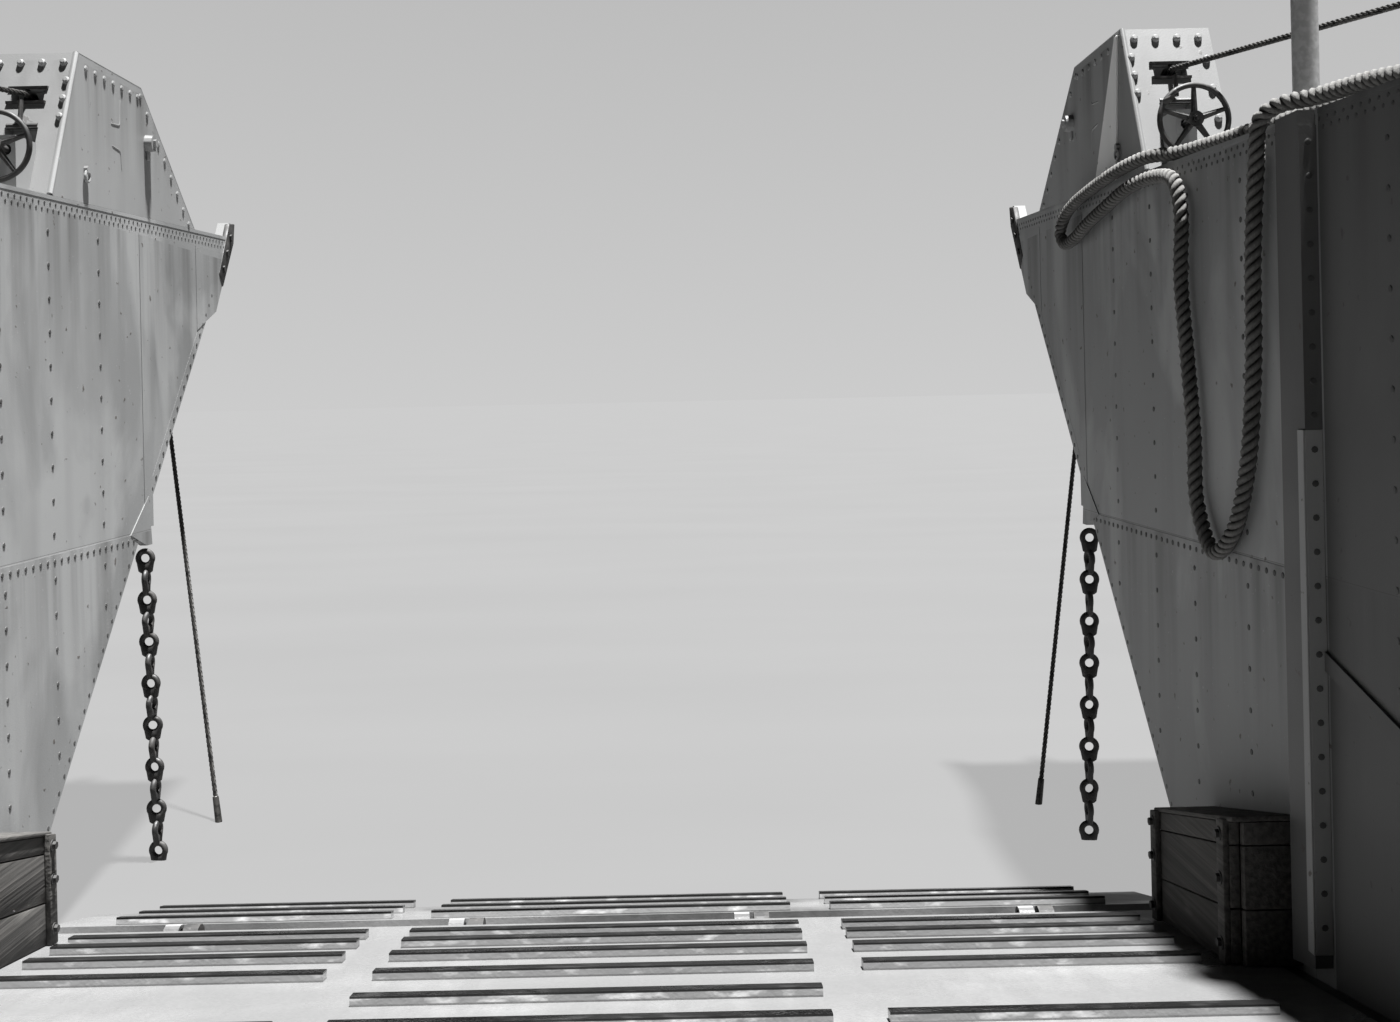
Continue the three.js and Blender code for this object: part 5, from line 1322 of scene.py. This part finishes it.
upward = (0, 0, 1)
rows = [((-2.1, y, quarter_z), (2.1, y, quarter_z), 0.11, upward) for y in (-8.2, -9.6, -11.1, -12.6)]
rows += [((x, -6.7, quarter_z), (x, -14.2, quarter_z), 0.11, upward) for x in (-1.55, 1.55)]
rows += [((s * 0.305, -11.55, 2.05), (s * 0.305, -11.97, 2.05), 0.06, (s, 0, 0)) for s in (-1, 1)]
rows += [((-0.25, y, 2.05), (0.25, y, 2.05), 0.0625, (0, out, 0)) for y, out in ((-12.03, -1), (-11.47, 1))]
fit("quarterdeck_rivets", [rivet_rows(rows, 0.006, 0.003)], rivet_painted_shade_finish)

gear = []
for x in (-0.175, 0.175):
    gear.append(softened(block((x - 0.025, -11.9, lid_z), (x + 0.025, -11.46, lid_z + 0.0065)), 0.003, 2))
    gear += [upright(x, y, lid_z + 0.0055, lid_z + 0.0125, 0.008, 10) for y in (-11.85, -11.7, -11.55)]
for x in (-0.2, 0.2):
    gear.append(upright(x, -12.02, lid_z, lid_z + 0.012, 0.014, 6))
    gear.append(stub((x, -12.04, lid_z + 0.014), (0, 0.055, 0), 0.006, 8))
fit("hatch_lid_straps", gear, iron_finish, "engine hatch lid")

turns = repeated(torus(winch - Vector((0.2755, 0, 0)), 0.1085, 0.009, 40, 8, along_x), 30, (0.0184, 0, 0))
outer_turns = copied(turns)
outer_turns.data.transform(Matrix.Translation(winch + Vector((0.004, 0, 0)))
                           @ Matrix.Diagonal((0.93, 1.14, 1.14, 1)) @ Matrix.Translation(-winch))
fit("kedge_wire_turns", [turns, outer_turns], wire_finish, "kedge winch drum")
flanges, castings = [], []
for s in (-1, 1):
    flange = stub(winch + Vector((s * 0.312 - 0.003, 0, 0)), (0.006, 0, 0), 0.1985, 48)
    flanges.append(softened(flange, 0.002, 1))
    hub = winch + Vector((s * 0.318, 0, 0))
    flanges += [bar(hub + out * 0.11, hub + out * 0.19, 0.009, 8, 0.006)
                for out in round_circle(1, 6, 0, "xyz")]
    castings.append(stub(winch + Vector((s * 0.3795, 0, 0)), (s * 0.0155, 0, 0), 0.062, 24))
    hub = winch + Vector((s * 0.381, 0, 0))
    castings += [stub(hub + out, (s * 0.02, 0, 0), 0.007, 6) for out in round_circle(0.05, 4, 45, "xyz")]
fit("kedge_drum_flanges", flanges, iron_finish, "kedge winch drum")
fit("kedge_winch_castings", castings, iron_finish)
fit("anchor_forging", [
    stub((-1.0495, -14.37, quarter_z + 0.085), (0, 0.7, 0), 0.0275, 16, 0.024),
    stub((-1.262, -14.41, quarter_z + 0.06), (0.424, 0, 0), 0.0425, 24),
    *(stub((-1.05 + dx, -14.37, quarter_z + 0.03), (0, 0.42, 0), 0.024, 12, 0.008) for dx in (-0.15, 0.15)),
], iron_finish)


# Deckhouse: four plate walls with riveted seams and corner angles, portholes in bronze rims, and a
# plate door on the aft side that is held by clips
house_x = 1.375
house_y0, house_y1 = -10.8, -7.1
house_z0, house_z1 = 1.9953, 3.0953
port_z = 2.66
seam_rivet = (0.006, 0.0032)

glass_finish = layered(
    "window_glass", 0.06, 0.0, [(6, 0.35, 0.7, 5), (40, 0.5, 0.75, 4)],
    [(0.012, 0.014, 0.015, 1), (0.03, 0.033, 0.034, 1)], [(1, 0.4, (0.06, 0.062, 0.06, 1))], [],
    rough=(1, 0.04, 0.3))
dressed(house_finish, *(name for name in frame["nodes"] if name.startswith("deckhouse")))


# A porthole on a wall: a rim with bolts, and glass sunk in it, facing the given way
def porthole(at, out, radius=0.085):
    section = [(0.72, -0.002), (0.72, 0.006), (0.82, 0.013), (1, 0.011), (1.04, 0.004), (1.04, -0.002)]
    rim = turned([(radius * share, height) for share, height in section], (0, 0, 0), steps=28, closed=True)
    pane = turned([(0, 0.0045), (radius * 0.74, 0.0045), (radius * 0.74, -0.001), (0, -0.001)],
                  (0, 0, 0), steps=28)
    bolts = [upright(spot.x, spot.y, 0.01, 0.018, 0.0065, 6) for spot in round_circle(radius * 0.9, 6)]
    rim = joined("rim", [rim, *bolts])
    for piece in (rim, pane):
        aim = Vector(out).to_track_quat("Z", "Y").to_matrix().to_4x4()
        piece.data.transform(Matrix.Translation(at) @ aim)
    return rim, pane


# A rail that stands off a wall on both ends, from fore to aft
def grab_rail(s, wall_x, rail_x, y0, y1, z, *shape):
    corners = ((wall_x, y0), (rail_x, y0), (rail_x, y1), (wall_x, y1))
    return bent_rod([(s * x, y, z) for x, y in corners], *shape)


ports = [porthole((s * house_x, y, port_z), (s, 0, 0)) for s in (-1, 1) for y in (-7.9, -8.8, -9.7)]
ports += [porthole((x, house_y1, port_z), (0, 1, 0)) for x in (-0.9, -0.3, 0.3, 0.9)]
ports.append(porthole((-0.25, house_y0, port_z), (0, -1, 0)))
fit("deckhouse_port_rims", [rim for rim, _ in ports], bronze_finish)
fit("deckhouse_port_glass", [pane for _, pane in ports], glass_finish)

edges = []
for s in (-1, 1):
    edges += [upright(s * (house_x - 0.004), y, house_z0, house_z1, 0.016, 16)
              for y in (house_y0 + 0.004, house_y1 - 0.004)]
    foot = (s * (house_x + 0.004), house_y0, house_z0 + 0.03)
    edges.append(stub(foot, (0, house_y1 - house_y0, 0), 0.009, 8))
    edges.append(grab_rail(s, house_x - 0.002, house_x + 0.035, -10.3, -7.6, 2.32, 0.008, 0.03))
    edges += [stub((s * (house_x - 0.002), y, 2.32), (s * 0.032, 0, 0), 0.006, 8) for y in (-9.4, -8.5)]
for x0, x1, z0, z1 in ((0.345, 0.371, 2.065, 3.0), (0.739, 0.765, 2.065, 3.0),
                       (0.371, 0.739, 2.065, 2.089), (0.371, 0.739, 2.976, 3.0)):
    edges.append(block((x0, house_y0 - 0.004, z0), (x1, house_y0, z1)))
edges.append(softened(block((0.315, house_y0 - 0.03, 3.01), (0.795, house_y0, 3.02)), 0.003, 2))
fit("deckhouse_edges", edges, house_finish)

rows = []
low, high = 2.08, 3.04
for s in (-1, 1):
    x, out = s * house_x, (s, 0, 0)
    rows += [((x, y, low), (x, y, high), 0.08, out) for y in (-7.14, -8.35, -9.25, -10.76)]
    rows += [((x, house_y0 + 0.08, z), (x, house_y1 - 0.08, z), 0.08, out) for z in (2.035, 3.06)]
for y, way, places in ((house_y1, 1, (-1.33, -0.6, 0.0, 0.6, 1.33)),
                       (house_y0, -1, (-1.33, -0.55, 0.05, 0.95, 1.33))):
    rows += [((x, y, low), (x, y, high), 0.08, (0, way, 0)) for x in places]
    rows.append(((-1.29, y, 3.06), (1.29, y, 3.06), 0.08, (0, way, 0)))
fit("deckhouse_rivets", [rivet_rows(rows, *seam_rivet)], rivet_painted_shade_finish)

rim, pane = porthole((0.555, house_y0 - 0.005, 2.72), (0, -1, 0), 0.07)
fit("door_port_rim", [rim], bronze_finish, "deckhouse door")
fit("door_port_glass", [pane], glass_finish, "deckhouse door")
gear = []
for z in (2.2, 2.86):
    clip = Vector((0.705, house_y0 - 0.006, z))
    gear.append(stub(clip, (0, -0.016, 0), 0.011, 12))
    gear.append(stub(clip + Vector((-0.05, -0.012, 0.012)), (0.062, 0, -0.015), 0.0055, 8))
for x0, x1, z0, z1 in ((0.41, 0.7, 2.125, 2.131), (0.41, 0.7, 2.934, 2.94),
                       (0.41, 0.416, 2.131, 2.934), (0.694, 0.7, 2.131, 2.934)):
    gear.append(block((x0, house_y0 - 0.0085, z0), (x1, house_y0 - 0.005, z1)))
fit("door_clips", gear, iron_finish, "deckhouse door")


# Bridge deck and screen: a plate deck with an angle round its edge, a breast-high screen with a rolled
# top and stiffeners inside, the side lamps, and the ladder up the deckhouse's aft wall
bridge_z = 3.1256
edge_y0, edge_y1, deck_x = -10.9, -7.0, 1.475
screen_x, screen_y0, screen_y1 = 1.435, -10.0, -7.04
screen_top = 3.675
rail_y = -10.85

dressed(house_finish, "bridge_screen", "bridge_ladder")
angle_z = bridge_z - 0.015
edging = [bar((x, edge_y0, angle_z), (x, edge_y1, angle_z), 0.0165, 12) for x in (-deck_x, deck_x)]
edging += [bar((-deck_x, y, angle_z), (deck_x, y, angle_z), 0.0165, 12) for y in (edge_y0, edge_y1)]
rib_outline = [(0.025, bridge_z), (0.085, bridge_z), (0.03, screen_top - 0.02), (0.025, screen_top - 0.02)]
for s in (-1, 1):
    x = s * (screen_x - 0.0125)
    edging.append(bar((x, screen_y0, screen_top), (x, screen_y1, screen_top), 0.018, 16))
    rib = plate([(s * (screen_x - inward), screen_y0 + 0.15, z) for inward, z in rib_outline], (0, 0.005, 0))
    edging.append(repeated(rib, 7, (0, 0.45, 0)))
    edging += [upright(s * 1.42, y, bridge_z, bridge_z + 0.5, 0.009, 10) for y in (rail_y, -10.43)]
    edging += [bar((s * 1.42, rail_y, z), (s * 1.42, screen_y0, z), 0.0075, 10)
               for z in (bridge_z + 0.26, bridge_z + 0.5)]
y = screen_y1 - 0.0125
edging.append(bar((-screen_x, y, screen_top), (screen_x, y, screen_top), 0.018, 16))
rib = plate([(-1.3, screen_y1 - inward, z) for inward, z in rib_outline], (0.005, 0, 0))
edging.append(repeated(rib, 7, (0.4325, 0, 0)))
for x0, x1 in ((-1.42, -0.97), (-0.55, -0.2), (0.1, 1.42)):
    corners = ((x0, 0), (x0, 0.5), (x1, 0.5), (x1, 0))
    edging.append(bent_rod([(x, rail_y, bridge_z + z) for x, z in corners], 0.009, 0.04))
fit("bridge_edging", edging, house_finish)

rows = []
screen_seams = (bridge_z + 0.05, screen_top - 0.04)
low, high = bridge_z + 0.1, screen_top - 0.1
for s in (-1, 1):
    x, out = s * screen_x, (s, 0, 0)
    rows += [((x, screen_y0 + 0.05, z), (x, screen_y1 - 0.05, z), 0.075, out) for z in screen_seams]
    rows += [((x, y, low), (x, y, high), 0.075, out) for y in (-9.4, -8.5)]
rows += [((-1.38, screen_y1, z), (1.38, screen_y1, z), 0.075, (0, 1, 0)) for z in screen_seams]
rows += [((x, screen_y1, low), (x, screen_y1, high), 0.075, (0, 1, 0)) for x in (-0.72, 0.0, 0.72)]
fit("bridge_rivets", [rivet_rows(rows, *seam_rivet)], rivet_painted_shade_finish)

lamps, lenses = [], []
cap_profile = [(0, 0.142), (0.012, 0.14), (0.014, 0.128), (0.036, 0.122), (0.0395, 0.115),
               (0.0395, 0.108), (0, 0.108)]
foot_profile = [(0, 0.012), (0.0395, 0.012), (0.0395, 0.0), (0, 0.0)]
lens_profile = [(0, 0.109), (0.0382, 0.109), (0.0395, 0.085), (0.0382, 0.06), (0.0395, 0.035),
                (0.0382, 0.012), (0, 0.012)]
for s in (-1, 1):
    at = (s * (screen_x + 0.06), -7.6, 3.515)
    lamps += [turned(cap_profile, at, steps=24), turned(foot_profile, at, steps=24)]
    lenses.append(turned(lens_profile, at, steps=24))
    lamps += [upright(at[0] + out.x, at[1] + out.y, 3.52, 3.63, 0.0025, 6)
              for out in round_circle(0.0415, 3, 30)]
fit("side_lamp_cages", lamps, iron_finish)
fit("side_lamp_lenses", lenses, glass_finish)


# Wheelhouse: plate walls with framed windows, a steering wheel and binnacle within, and on the roof a
# searchlight in its yoke
roof_z = 4.1262
cabin_x, cabin_y0, cabin_y1 = 0.75, -8.95, -7.7
sill_z, lintel_z = 3.6759, 3.9259
window_half = 0.155
frame_half = Vector((0, 0, 0.009))

dressed(house_finish, "wheelhouse_walls")
frames, panes = [], []
windows = [((x, cabin_y1), (1, 0, 0), (0, 1, 0)) for x in (-0.475, 0.0, 0.475)]
windows += [((s * cabin_x, y), (0, 1, 0), (s, 0, 0)) for s in (-1, 1) for y in (-8.05, -8.6)]
up = Vector((0, 0, (lintel_z - sill_z) / 2))
for at, along, out in windows:
    middle, along, out = Vector((*at, (sill_z + lintel_z) / 2)), Vector(along), Vector(out)
    for edge in (middle + up, middle - up):
        reach = along * (window_half + 0.02)
        frames.append(block(edge - reach - frame_half, edge + reach + frame_half + out * 0.006))
    for foot in (middle - along * (window_half + 0.01) - up, middle + along * (window_half + 0.01) - up):
        frames.append(block(foot - along * 0.009, foot + up * 2 + out * 0.006 + along * 0.009))
    reach = along * (window_half + 0.004) + up * 1.03
    panes.append(block(middle - reach - out * 0.02, middle + reach - out * 0.014))
fit("wheelhouse_window_frames", [softened(joined("frames", frames), 0.0015, 1)], house_finish)
fit("wheelhouse_glass", panes, glass_finish)

edges = []
gutter_z, gutter_y0, gutter_y1 = roof_z + 0.012, cabin_y0 - 0.055, cabin_y1 + 0.055
for s in (-1, 1):
    edges += [upright(s * (cabin_x - 0.006), y, bridge_z + 0.001, roof_z, 0.014, 16)
              for y in (cabin_y0 + 0.006, cabin_y1 - 0.006)]
    edges.append(bar((s * 0.806, gutter_y0, gutter_z), (s * 0.806, gutter_y1, gutter_z), 0.0125, 10))
    edges.append(grab_rail(s, cabin_x - 0.002, cabin_x + 0.03, cabin_y0 + 0.12, cabin_y1 - 0.12, 3.5,
                           0.007, 0.02))
edges += [stub((-0.8, y, gutter_z), (1.6, 0, 0), 0.0125, 10) for y in (gutter_y1, gutter_y0)]
edges += [block((x - 0.012, cabin_y0 - 0.004, 3.176), (x + 0.012, cabin_y0, 4.04)) for x in (-0.19, 0.19)]
edges.append(block((-0.2, cabin_y0 - 0.03, 4.045), (0.2, cabin_y0, 4.055)))
edges.append(turned([(0, 0.13), (0.045, 0.126), (0.06, 0.11), (0.06, 0.095), (0.03, 0.1), (0.03, 0), (0, 0)],
                    (0.42, -8.5, roof_z + 0.036), steps=24))
fit("wheelhouse_edges", edges, house_finish)
rows = []
for z in (bridge_z + 0.05, 3.6, 4.05):
    rows += [((s * cabin_x, cabin_y0 + 0.06, z), (s * cabin_x, cabin_y1 - 0.06, z), 0.07, (s, 0, 0))
             for s in (-1, 1)]
    rows.append(((-cabin_x + 0.06, cabin_y1, z), (cabin_x - 0.06, cabin_y1, z), 0.07, (0, 1, 0)))
rows += [((x, cabin_y0, bridge_z + 0.06), (x, cabin_y0, 4.05), 0.07, (0, -1, 0)) for x in (-0.62, 0.62)]
fit("wheelhouse_rivets", [rivet_rows(rows, 0.0055, 0.003)], rivet_painted_shade_finish)

lamp_y, lamp_z = -8.0, roof_z + 0.21
lamp = [stub((0, lamp_y + y, lamp_z), (0, length, 0), *shape) for y, length, *shape in (
    (-0.075, 0.153, 0.0957, 40), (0.058, 0.024, 0.1, 40), (-0.075, -0.0385, 0.0957, 40, 0.053))]
lamp += [
    upright(0, lamp_y - 0.02, lamp_z + 0.09, lamp_z + 0.115, 0.03, 20),
    turned([(0, 0.03), (0.03, 0.03), (0.036, 0.02), (0.06, 0.008), (0.06, 0), (0, 0)],
           (0, lamp_y, roof_z + 0.054), steps=24),
    bent_rod([(x, lamp_y, lamp_z + z) for x, z in
              ((-0.108, 0), (-0.108, -0.108), (0.108, -0.108), (0.108, 0))], 0.0085, 0.05),
    *(stub((s * 0.09, lamp_y, lamp_z), (s * 0.032, 0, 0), 0.014, 12) for s in (-1, 1)),
]
fit("searchlight_body", lamp, house_finish)
lens = turned([(0, 0.014), (0.03, 0.013), (0.06, 0.009), (0.09, 0.001), (0.0, 0.001)], (0, 0, 0), steps=36)
forward = Matrix.Rotation(math.radians(-90), 4, "X")
lens.data.transform(Matrix.Translation((0, lamp_y + 0.08, lamp_z)) @ forward)
fit("searchlight_lens", [lens], glass_finish)

binnacle_profile = [(0, 0.36), (0.07, 0.35), (0.085, 0.31), (0.07, 0.27), (0.055, 0.25), (0.06, 0.04),
                    (0.085, 0.03), (0.085, 0), (0, 0)]
helm_z = bridge_z + 0.4
hub = Vector((0, -8.245, helm_z))
helm = [
    turned(binnacle_profile, (0.0, -7.98, bridge_z + 0.001), steps=28),
    upright(0, -8.15, bridge_z + 0.001, helm_z, 0.045, 20, 0.035),
    stub((0, -8.2, helm_z), (0, -0.04, 0), 0.03, 20),
    torus((0, -8.25, helm_z), 0.17, 0.011, 40, 10, along_y),
    *(bar(hub + out * 0.02, hub + out * 0.225, 0.0085, 10, 0.0065) for out in round_circle(1, 8, 0, "yxz")),
]
fit("helm_and_binnacle", helm, iron_finish)


# Funnel: a tapered casing with a stiffened lip, a foot ring held by bolts, a steam pipe and a sooty top.
# It is plate in the hull's grey, and stands on the bridge deck aft of the mast.
funnel_y = -10.2
funnel_top_z = bridge_z + 1.0505


def funnel_paint():
    mat, tree, shader, place, colour = worn_paint(
        "sooted_funnel_paint", hull_tones, seed=9.0, seams=[(funnel_top_z - 0.1, 0.7)])
    soot = ranged(tree, axis(tree, place, "Z"), funnel_top_z - 0.34, funnel_top_z - 0.02)
    coated(tree, shader, over(tree, colour, soot, noise(tree, place, 8, 0.2, 0.6, 5), (0.01, 0.01, 0.01, 1)))
    return mat


funnel_finish = funnel_paint()
casing = turned([
    (0.199, 0.62), (0.199, 1.046), (0.205, 1.0525), (0.2225, 1.0525), (0.2275, 1.046), (0.2275, 1.036),
    (0.2212, 1.03), (0.2245, 0.998), (0.2378, 0.997), (0.2378, 0.953), (0.2262, 0.952), (0.234, 0.7),
    (0.2405, 0.699), (0.2405, 0.68), (0.235, 0.679), (0.2503, 0.055), (0.262, 0.0505), (0.3003, 0.0505),
    (0.3003, 0.0), (0.1, 0.0), (0.1, 0.62),
], (0, funnel_y, bridge_z + 0.0003), steps=64, closed=True)
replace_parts(fit("funnel_casing", [casing], funnel_finish), "funnel")
gear = [upright(spot.x, funnel_y + spot.y, bridge_z + 0.0505, bridge_z + 0.0625, 0.01, 6)
        for spot in round_circle(0.278, 16)]
gear.append(bent_rod([(0.0, funnel_y + y, bridge_z + z) for y, z in
                      ((-0.3, 0), (-0.27, 0.95), (-0.25, 1.04))], 0.02, 0.05))
gear += [block((-0.035, funnel_y - 0.31, z), (0.035, funnel_y - 0.22, z + 0.02))
         for z in (bridge_z + 0.3, bridge_z + 0.72)]
for i in range(6):
    z = 0.2 + i * 0.13
    out = 0.282 - 0.028 * z
    bends = ((out - 0.04, -0.06), (out, -0.06), (out, 0.06), (out - 0.04, 0.06))
    gear.append(bent_rod([(x, funnel_y + y, bridge_z + z) for x, y in bends], 0.006, 0.01))
fit("funnel_fittings", gear, funnel_finish)


# Mast: a tapered steel pole with a yard, a lamp on its shelf, and wire shrouds and stays set up taut.
# It is painted like the hull and held to the bridge deck by four bolts.
mast_y = -9.45
mast_z = bridge_z + 0.0003

pole = [upright(0, mast_y, mast_z + low, mast_z + high, *shape) for low, high, *shape in (
    (0, 3.1, 0.0565, 32, 0.0258), (0.0252, 0.06, 0.085, 24, 0.062), (2.05, 2.15, 0.04, 20),
    (2.9, 2.93, 0.036, 20))]
pole += [upright(0, mast_y, mast_z + z, mast_z + z + 0.025, 0.0605 - 0.0098 * z, 24) for z in (0.8, 1.4, 2.6)]
pole.append(stub((-0.55, mast_y, mast_z + 2.1), (1.1, 0, 0), 0.018, 20))
for s in (-1, 1):
    pole += [upright(s * 0.1, y, mast_z + 0.0252, mast_z + 0.0392, 0.012, 6)
             for y in (mast_y - 0.1, mast_y + 0.1)]
    pole.append(upright(s * 0.5, mast_y, mast_z + 2.075, mast_z + 2.125, 0.012, 12))
    pole.append(upright(s * 0.05, mast_y, mast_z + 0.5, mast_z + 0.6, 0.008, 8))
dressed(hull_finish, "mast")
fit("mast_pole", pole, hull_finish)
lamp_at = (0, mast_y + 0.1, mast_z + 2.525)
fit("mast_lamp_case", [turned(profile, lamp_at, steps=24) for profile in (
    [(0, 0.148), (0.014, 0.146), (0.018, 0.13), (0.044, 0.122), (0.0465, 0.112), (0.0465, 0.105), (0, 0.105)],
    [(0, 0.03), (0.0465, 0.03), (0.0465, 0.0), (0, 0.0)])], iron_finish)
lens = turned([(0, 0.105), (0.0455, 0.105), (0.0465, 0.085), (0.0452, 0.068), (0.0465, 0.05),
               (0.0455, 0.03), (0, 0.03)], lamp_at, steps=24)
fit("mast_lamp_lens", [lens], glass_finish)
rigging = []
stays = [((s * 1.41, y, foot_z), (s * 0.03, mast_y, mast_z + height)) for y, foot_z, height in
         ((-10.3, bridge_z, 2.92), (-9.3, screen_top + 0.01, 2.12)) for s in (-1, 1)]
stays.append(((0, cabin_y1 + 0.03, roof_z + 0.03), (0, mast_y + 0.03, mast_z + 2.92)))
for foot, head in stays:
    foot, head = Vector(foot), Vector(head)
    way = (head - foot).normalized()
    rigging.append(bar(foot + way * 0.14, head, 0.0042, 8))
    for start, end, radius, count in ((0, 0.02, 0.012, 10), (0.02, 0.045, 0.006, 8),
                                      (0.045, 0.12, 0.0105, 12), (0.12, 0.145, 0.0065, 8)):
        rigging.append(bar(foot + way * start, foot + way * end, radius, count))
for s in (-1, 1):
    for x0, z0, x1, z1 in ((0.5, 2.09, 0.055, 0.57), (0.02, 2.9, 0.5, 2.11)):
        rigging.append(bar((s * x0, mast_y, mast_z + z0), (s * x1, mast_y, mast_z + z1), 0.0025, 6))
fit("mast_rigging", rigging, wire_finish)


# Life floats: oval rings with a balsa core under tight painted canvas, lashed with cord bands, with a
# floor of slats; they lie in chocks on the bridge deck
ring_radius, ring_stretch, ring_thick = 0.21, 1.7, 0.0792
float_x, float_z = 0.875, bridge_z + 0.0803

canvas_finish = layered(
    "painted_canvas", 0.9, 0.0, [(5, 0.35, 0.7, 6), (320, 0.3, 0.7, 1), (45, 0.62, 0.7, 4)],
    [(0.12, 0.12, 0.11, 1), (0.07, 0.07, 0.065, 1)],
    [(2, 0.6, (0.28, 0.275, 0.25, 1)), (1, 0.2, (0.07, 0.07, 0.065, 1))],
    [(0, 0.3, 0.004), (1, 0.5, 0.001), (2, 0.3, 0.001)])
for side, s in sides:
    centre = Vector((s * float_x, funnel_y, float_z))
    ring = torus((0, 0, 0), ring_radius, ring_thick, 72, 24)
    for vertex in ring.data.vertices:
        a = math.atan2(vertex.co.y, vertex.co.x)
        puckered = 1 - 0.025 * (0.5 + 0.5 * math.cos(12 * a)) ** 6
        out = ring_radius + (math.hypot(vertex.co.x, vertex.co.y) - ring_radius) * puckered
        vertex.co = (out * math.cos(a), out * math.sin(a) * ring_stretch, vertex.co.z * puckered)
    ring.location = centre
    placed(ring)
    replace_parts(fit(f"float_ring_{side}", [ring], canvas_finish), f"life_float_{side}")

    bands = []
    for i in range(12):
        a = math.tau * i / 12
        along = Vector((-math.sin(a), ring_stretch * math.cos(a), 0)).normalized()
        radial = along.cross(Vector((0, 0, 1)))
        widened = ring_stretch if abs(math.sin(a)) > 0.9 else 1 + 0.62 * abs(math.sin(a)) ** 2
        middle = centre + Vector((math.cos(a), ring_stretch * math.sin(a), 0)) * ring_radius
        band = torus((0, 0, 0), 0.0795, 0.0042, 28, 6)
        band.data.transform(Matrix((radial, Vector((0, 0, 1)), along)).transposed().to_4x4()
                            @ Matrix.Diagonal((widened, 1, 1, 1)))
        band.data.transform(Matrix.Translation(middle))
        second = copied(band)
        second.data.transform(Matrix.Translation(along * 0.009))
        bands += [band, second]
    fit(f"float_lashings_{side}", bands, hemp)
    slats = []
    for i in range(7):
        y = -0.24 + i * 0.08
        half = 0.16 * math.sqrt(max(0.05, 1 - (y / 0.33) ** 2))
        slats.append(softened(block(centre + Vector((-half, y - 0.024, -0.012)),
                                    centre + Vector((half, y + 0.024, -0.003))), 0.002, 1))
    for dx in (-0.09, 0.09):
        slats.append(block(centre + Vector((dx - 0.014, -0.27, -0.022)),
                           centre + Vector((dx + 0.014, 0.27, -0.012))))
    fit(f"float_slats_{side}", slats, timber_finish)
